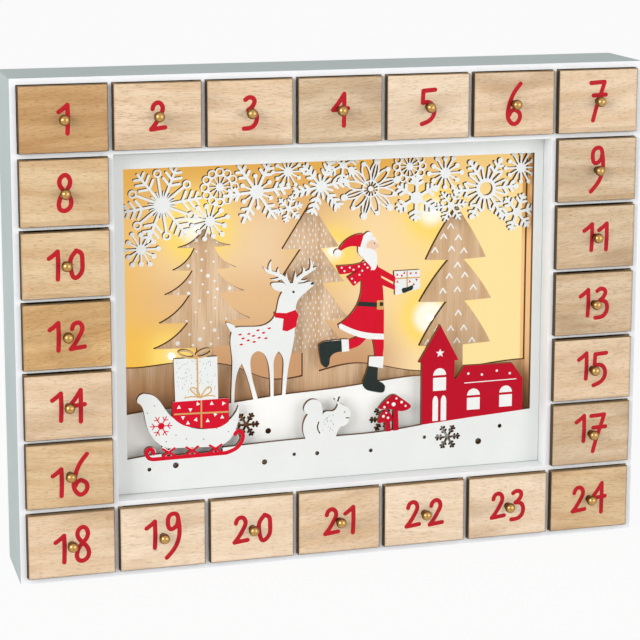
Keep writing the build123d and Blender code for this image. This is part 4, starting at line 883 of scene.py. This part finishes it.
left_low = lit.soft_step(lit.x, -62.0, -112.0) * lit.soft_step(lit.z, foot + 112.0, foot + 84.0)
ambient = lit.mix(left_low * 0.8, ambient, colour("f7c14c"))
glow_tone = lit.mix(lit.soft_step(glow, 0.3, 0.95), ambient, colour("fedb72"))
glow_tone = lit.mix(lit.soft_step(glow, 0.95, 1.6), glow_tone, colour("fffce8"))
front_lit = (lit.y > panel_face - front_skin) * (lit.ny < -0.5)
lit.set(base_color=lit.mix(front_lit, strip_tone, colour("1c140a")))
lit.set(emission_color=lit.mix(front_lit, colour("000000"), glow_tone))
lit.set(roughness=strip_fibres * 0.2 + 0.55)
lit.bump(strip_fibres, 0.0001)
dress(lit, "light_panel")

# Lamp string: clear domes pushed through the panel from behind, joined by one thin wire.
# The domes glow warm white; the wire's sleeve is clear brown plastic.
dome_root, dome_start = 0.6, 0.2
lamp = Finish("warm lamp and wire", emission_strength=3.0, roughness=0.25)
dome = lamp.soft_step(lamp.y, panel_face + dome_root, panel_face - dome_start)
sleeve = lamp.grain((1.0, 1.0, 1.0), 0.5, 2.0)
sleeve_tone = lamp.mix(sleeve, colour("6d4a22"), colour("8a6233"))
lamp.set(base_color=lamp.mix(dome, sleeve_tone, colour("fff2d0")))
lamp.set(emission_color=lamp.mix(dome, colour("000000"), colour("ffe9b0")))
dress(lamp, "led_string")

# Rear panel: thin hardboard pinned between the case boards, cut out for the battery box.
# Smooth brown face with fine fibres; round-headed pins hold it along the edges.
hardboard = Finish("rear hardboard", specular_ior_level=0.2)
fluff = hardboard.grain((1.0, 1.0, 1.0), 0.9, 5.0)
patch = hardboard.grain((1.0, 1.0, 1.0), 0.02, 3.0)
board_tone = hardboard.mix(patch * 0.5 + fluff * 0.5, colour("a57f56"), colour("bf9a6d"))
hardboard.set(base_color=board_tone)
hardboard.set(roughness=fluff * 0.2 + 0.6)
hardboard.bump(fluff, 0.0001)
dress(hardboard, "rear_panel")
rear_low, rear_high = corners_of("rear_panel")
pin_radius = 1.5
pin_rise = 0.7
pin_rings, pin_sides = 5, 12
pin_inset, pin_edge = 7, 6
pin_columns, pin_rows = 6, 5


def pin_head(x, z):
    """Low dome on the rear panel: rings of shrinking radius round the Y axis, closed at the top."""
    lift = np.linspace(0, np.pi / 2, pin_rings)[:, None]
    angle = np.arange(pin_sides)[None, :] * 2 * np.pi / pin_sides
    radius = pin_radius * np.cos(lift) + 0.02
    height = rear_high[1] + pin_rise * np.sin(lift) + 0 * angle
    rings = np.stack([x + radius * np.cos(angle), height, z + radius * np.sin(angle)], axis=2)
    return rings.reshape(-1, 3), tube_faces(pin_rings, pin_sides)


pins = []
pin_left, pin_right = rear_low[0] + pin_inset, rear_high[0] - pin_inset
pin_bottom, pin_top = rear_low[2] + pin_edge, rear_high[2] - pin_edge
for x in np.linspace(pin_left, pin_right, pin_columns):
    pins += [pin_head(x, pin_bottom), pin_head(x, pin_top)]
for z in np.linspace(pin_bottom, pin_top, pin_rows)[1:-1]:
    pins += [pin_head(pin_left, z), pin_head(pin_right, z)]
steel = Finish("pin steel", metallic=1.0, base_color=colour("b9bab8"))
dull = steel.grain((1.0, 1.0, 1.0), 1.5, 2.0)
steel.set(roughness=dull * 0.25 + 0.3)
steel.bump(dull, 0.00004)
make_piece("rear_pins", pins, steel, "case")

# Battery box, its cover and its switch: moulded black plastic with a fine spark texture.
# Two cells with bare steel ends lie inside between leaf contacts.
plastic = Finish("black moulded plastic", specular_ior_level=0.4)
spark = plastic.grain((1.0, 1.0, 1.0), 3.0, 2.0)
scuff = plastic.soft_step(plastic.grain((1.0, 1.0, 1.0), 0.12, 4.0), 0.55, 0.75)
moulded = plastic.mix(scuff * 0.3, colour("1b1c1e"), colour("35373a"))
box_low, box_high = corners_of("battery_box")
box_middle = (box_low[2] + box_high[2]) / 2
bay_half, bay_rise = 22.98, 10.72
bay_floor, bay_rim = 1.1, 0.72
cell_end = 21.4
band_start, band_end = 9.0, 9.4
inside_bay = (abs(plastic.x) < bay_half) * (abs(plastic.z - box_middle) < bay_rise)
inside_bay = inside_bay * (plastic.y > box_low[1] + bay_floor) * (plastic.y < rear_high[1] + bay_rim)
metal = inside_bay * (abs(plastic.x) > cell_end)
coppered = plastic.soft_step(plastic.x, band_start, band_end)
wrapper = plastic.mix(coppered, colour("20242c"), colour("b8793a"))
plastic_tone = plastic.mix(inside_bay, moulded, wrapper)
plastic.set(base_color=plastic.mix(metal, plastic_tone, colour("c4c4c0")))
plastic.set(metallic=metal)
plastic.set(roughness=spark * 0.2 + 0.35)
plastic.bump(spark, 0.00008)
dress(plastic, "battery_box", "battery_cover", "switch_slider")

# Floor, light and camera: a plain pale floor, two soft lamps and the photograph's viewpoint.
# The floor shows nearly white to the camera and keeps a faint shadow of the case.
floor_half = 12.0
floor_glow = 0.9
floor_corners = [(x * floor_half, y * floor_half, 0) for x, y in ((-1, -1), (1, -1), (1, 1), (-1, 1))]
floor_mesh = bpy.data.meshes.new("floor")
floor_mesh.from_pydata(floor_corners, [], [(0, 1, 2, 3)])
floor = bpy.data.objects.new("floor", floor_mesh)
bpy.context.scene.collection.objects.link(floor)
pale = Finish("pale floor", roughness=0.8, base_color=colour("f4f4f4"))
plain = Socket(pale, pale.shader.outputs["BSDF"])
bright = pale.node("Emission", {}, {"Color": (1.0, 1.0, 1.0, 1.0), "Strength": 1.0})
surface = pale.node("MixShader", {}, {0: pale.seen_directly() * floor_glow, 1: plain, 2: bright})
pale.tree.links.new(surface.output, pale.tree.nodes["Material Output"].inputs["Surface"])
floor_mesh.materials.append(pale.material)

world = bpy.data.worlds.new("studio")
bpy.context.scene.world = world
world.use_nodes = True
backdrop = world.node_tree.nodes["Background"]
backdrop.inputs["Color"].default_value = (1.0, 1.0, 1.0, 1.0)
studio = Nodes(world.node_tree)
studio_light = 0.56
shown_light = studio.seen_directly() * (1.0 - studio_light) + studio_light
studio.tree.links.new(shown_light.output, backdrop.inputs["Strength"])


def stand(item, right, up, back, place):
    """Places an object by the directions of its own X, Y and Z axes and its origin."""
    axes = np.column_stack([right, up, back, place])
    item.matrix_world = Matrix(np.vstack([axes, (0, 0, 0, 1)]).tolist())


def soft_lamp(name, place, aim, size, power):
    """Square area lamp at place, turned towards aim, in metres and watts."""
    data = bpy.data.lights.new(name, "AREA")
    data.size = size
    data.energy = power
    item = bpy.data.objects.new(name, data)
    bpy.context.scene.collection.objects.link(item)
    back = np.array(place) - np.array(aim)
    back = back / np.linalg.norm(back)
    side = np.cross((0, 0, 1), back)
    side = side / np.linalg.norm(side)
    stand(item, side, np.cross(back, side), back, place)


soft_lamp("key", (-1.95, -1.4, 1.0), (0, 0, 0.15), 1.3, 29)
soft_lamp("fill", (1.4, -1.8, 0.6), (0, 0, 0.15), 1.4, 14)

azimuth, elevation, roll = np.radians((16.128, 9.941, 0.159))
frame_px, sensor_mm = 640, 36.0
focal_px, centre_px = 2100.6, (340.0, 207.0)
heading = np.array([np.sin(azimuth), np.cos(azimuth), 0.0])
forward = heading * np.cos(elevation) - np.array([0.0, 0.0, np.sin(elevation)])
level_right = np.array([np.cos(azimuth), -np.sin(azimuth), 0.0])
level_up = np.cross(level_right, forward)
right = np.cos(roll) * level_right + np.sin(roll) * level_up
up = np.cos(roll) * level_up - np.sin(roll) * level_right
eye = (-0.3437, -1.2176, 0.4356)
camera_data = bpy.data.cameras.new("camera")
camera_data.sensor_width = sensor_mm
camera_data.lens = focal_px * sensor_mm / frame_px
camera_data.shift_x = (frame_px / 2 - centre_px[0]) / frame_px
camera_data.shift_y = (centre_px[1] - frame_px / 2) / frame_px
camera = bpy.data.objects.new("camera", camera_data)
stand(camera, right, up, -forward, eye)
bpy.context.scene.collection.objects.link(camera)
bpy.context.scene.camera = camera
bpy.context.scene.view_settings.view_transform = "Standard"

bpy.context.view_layer.update()
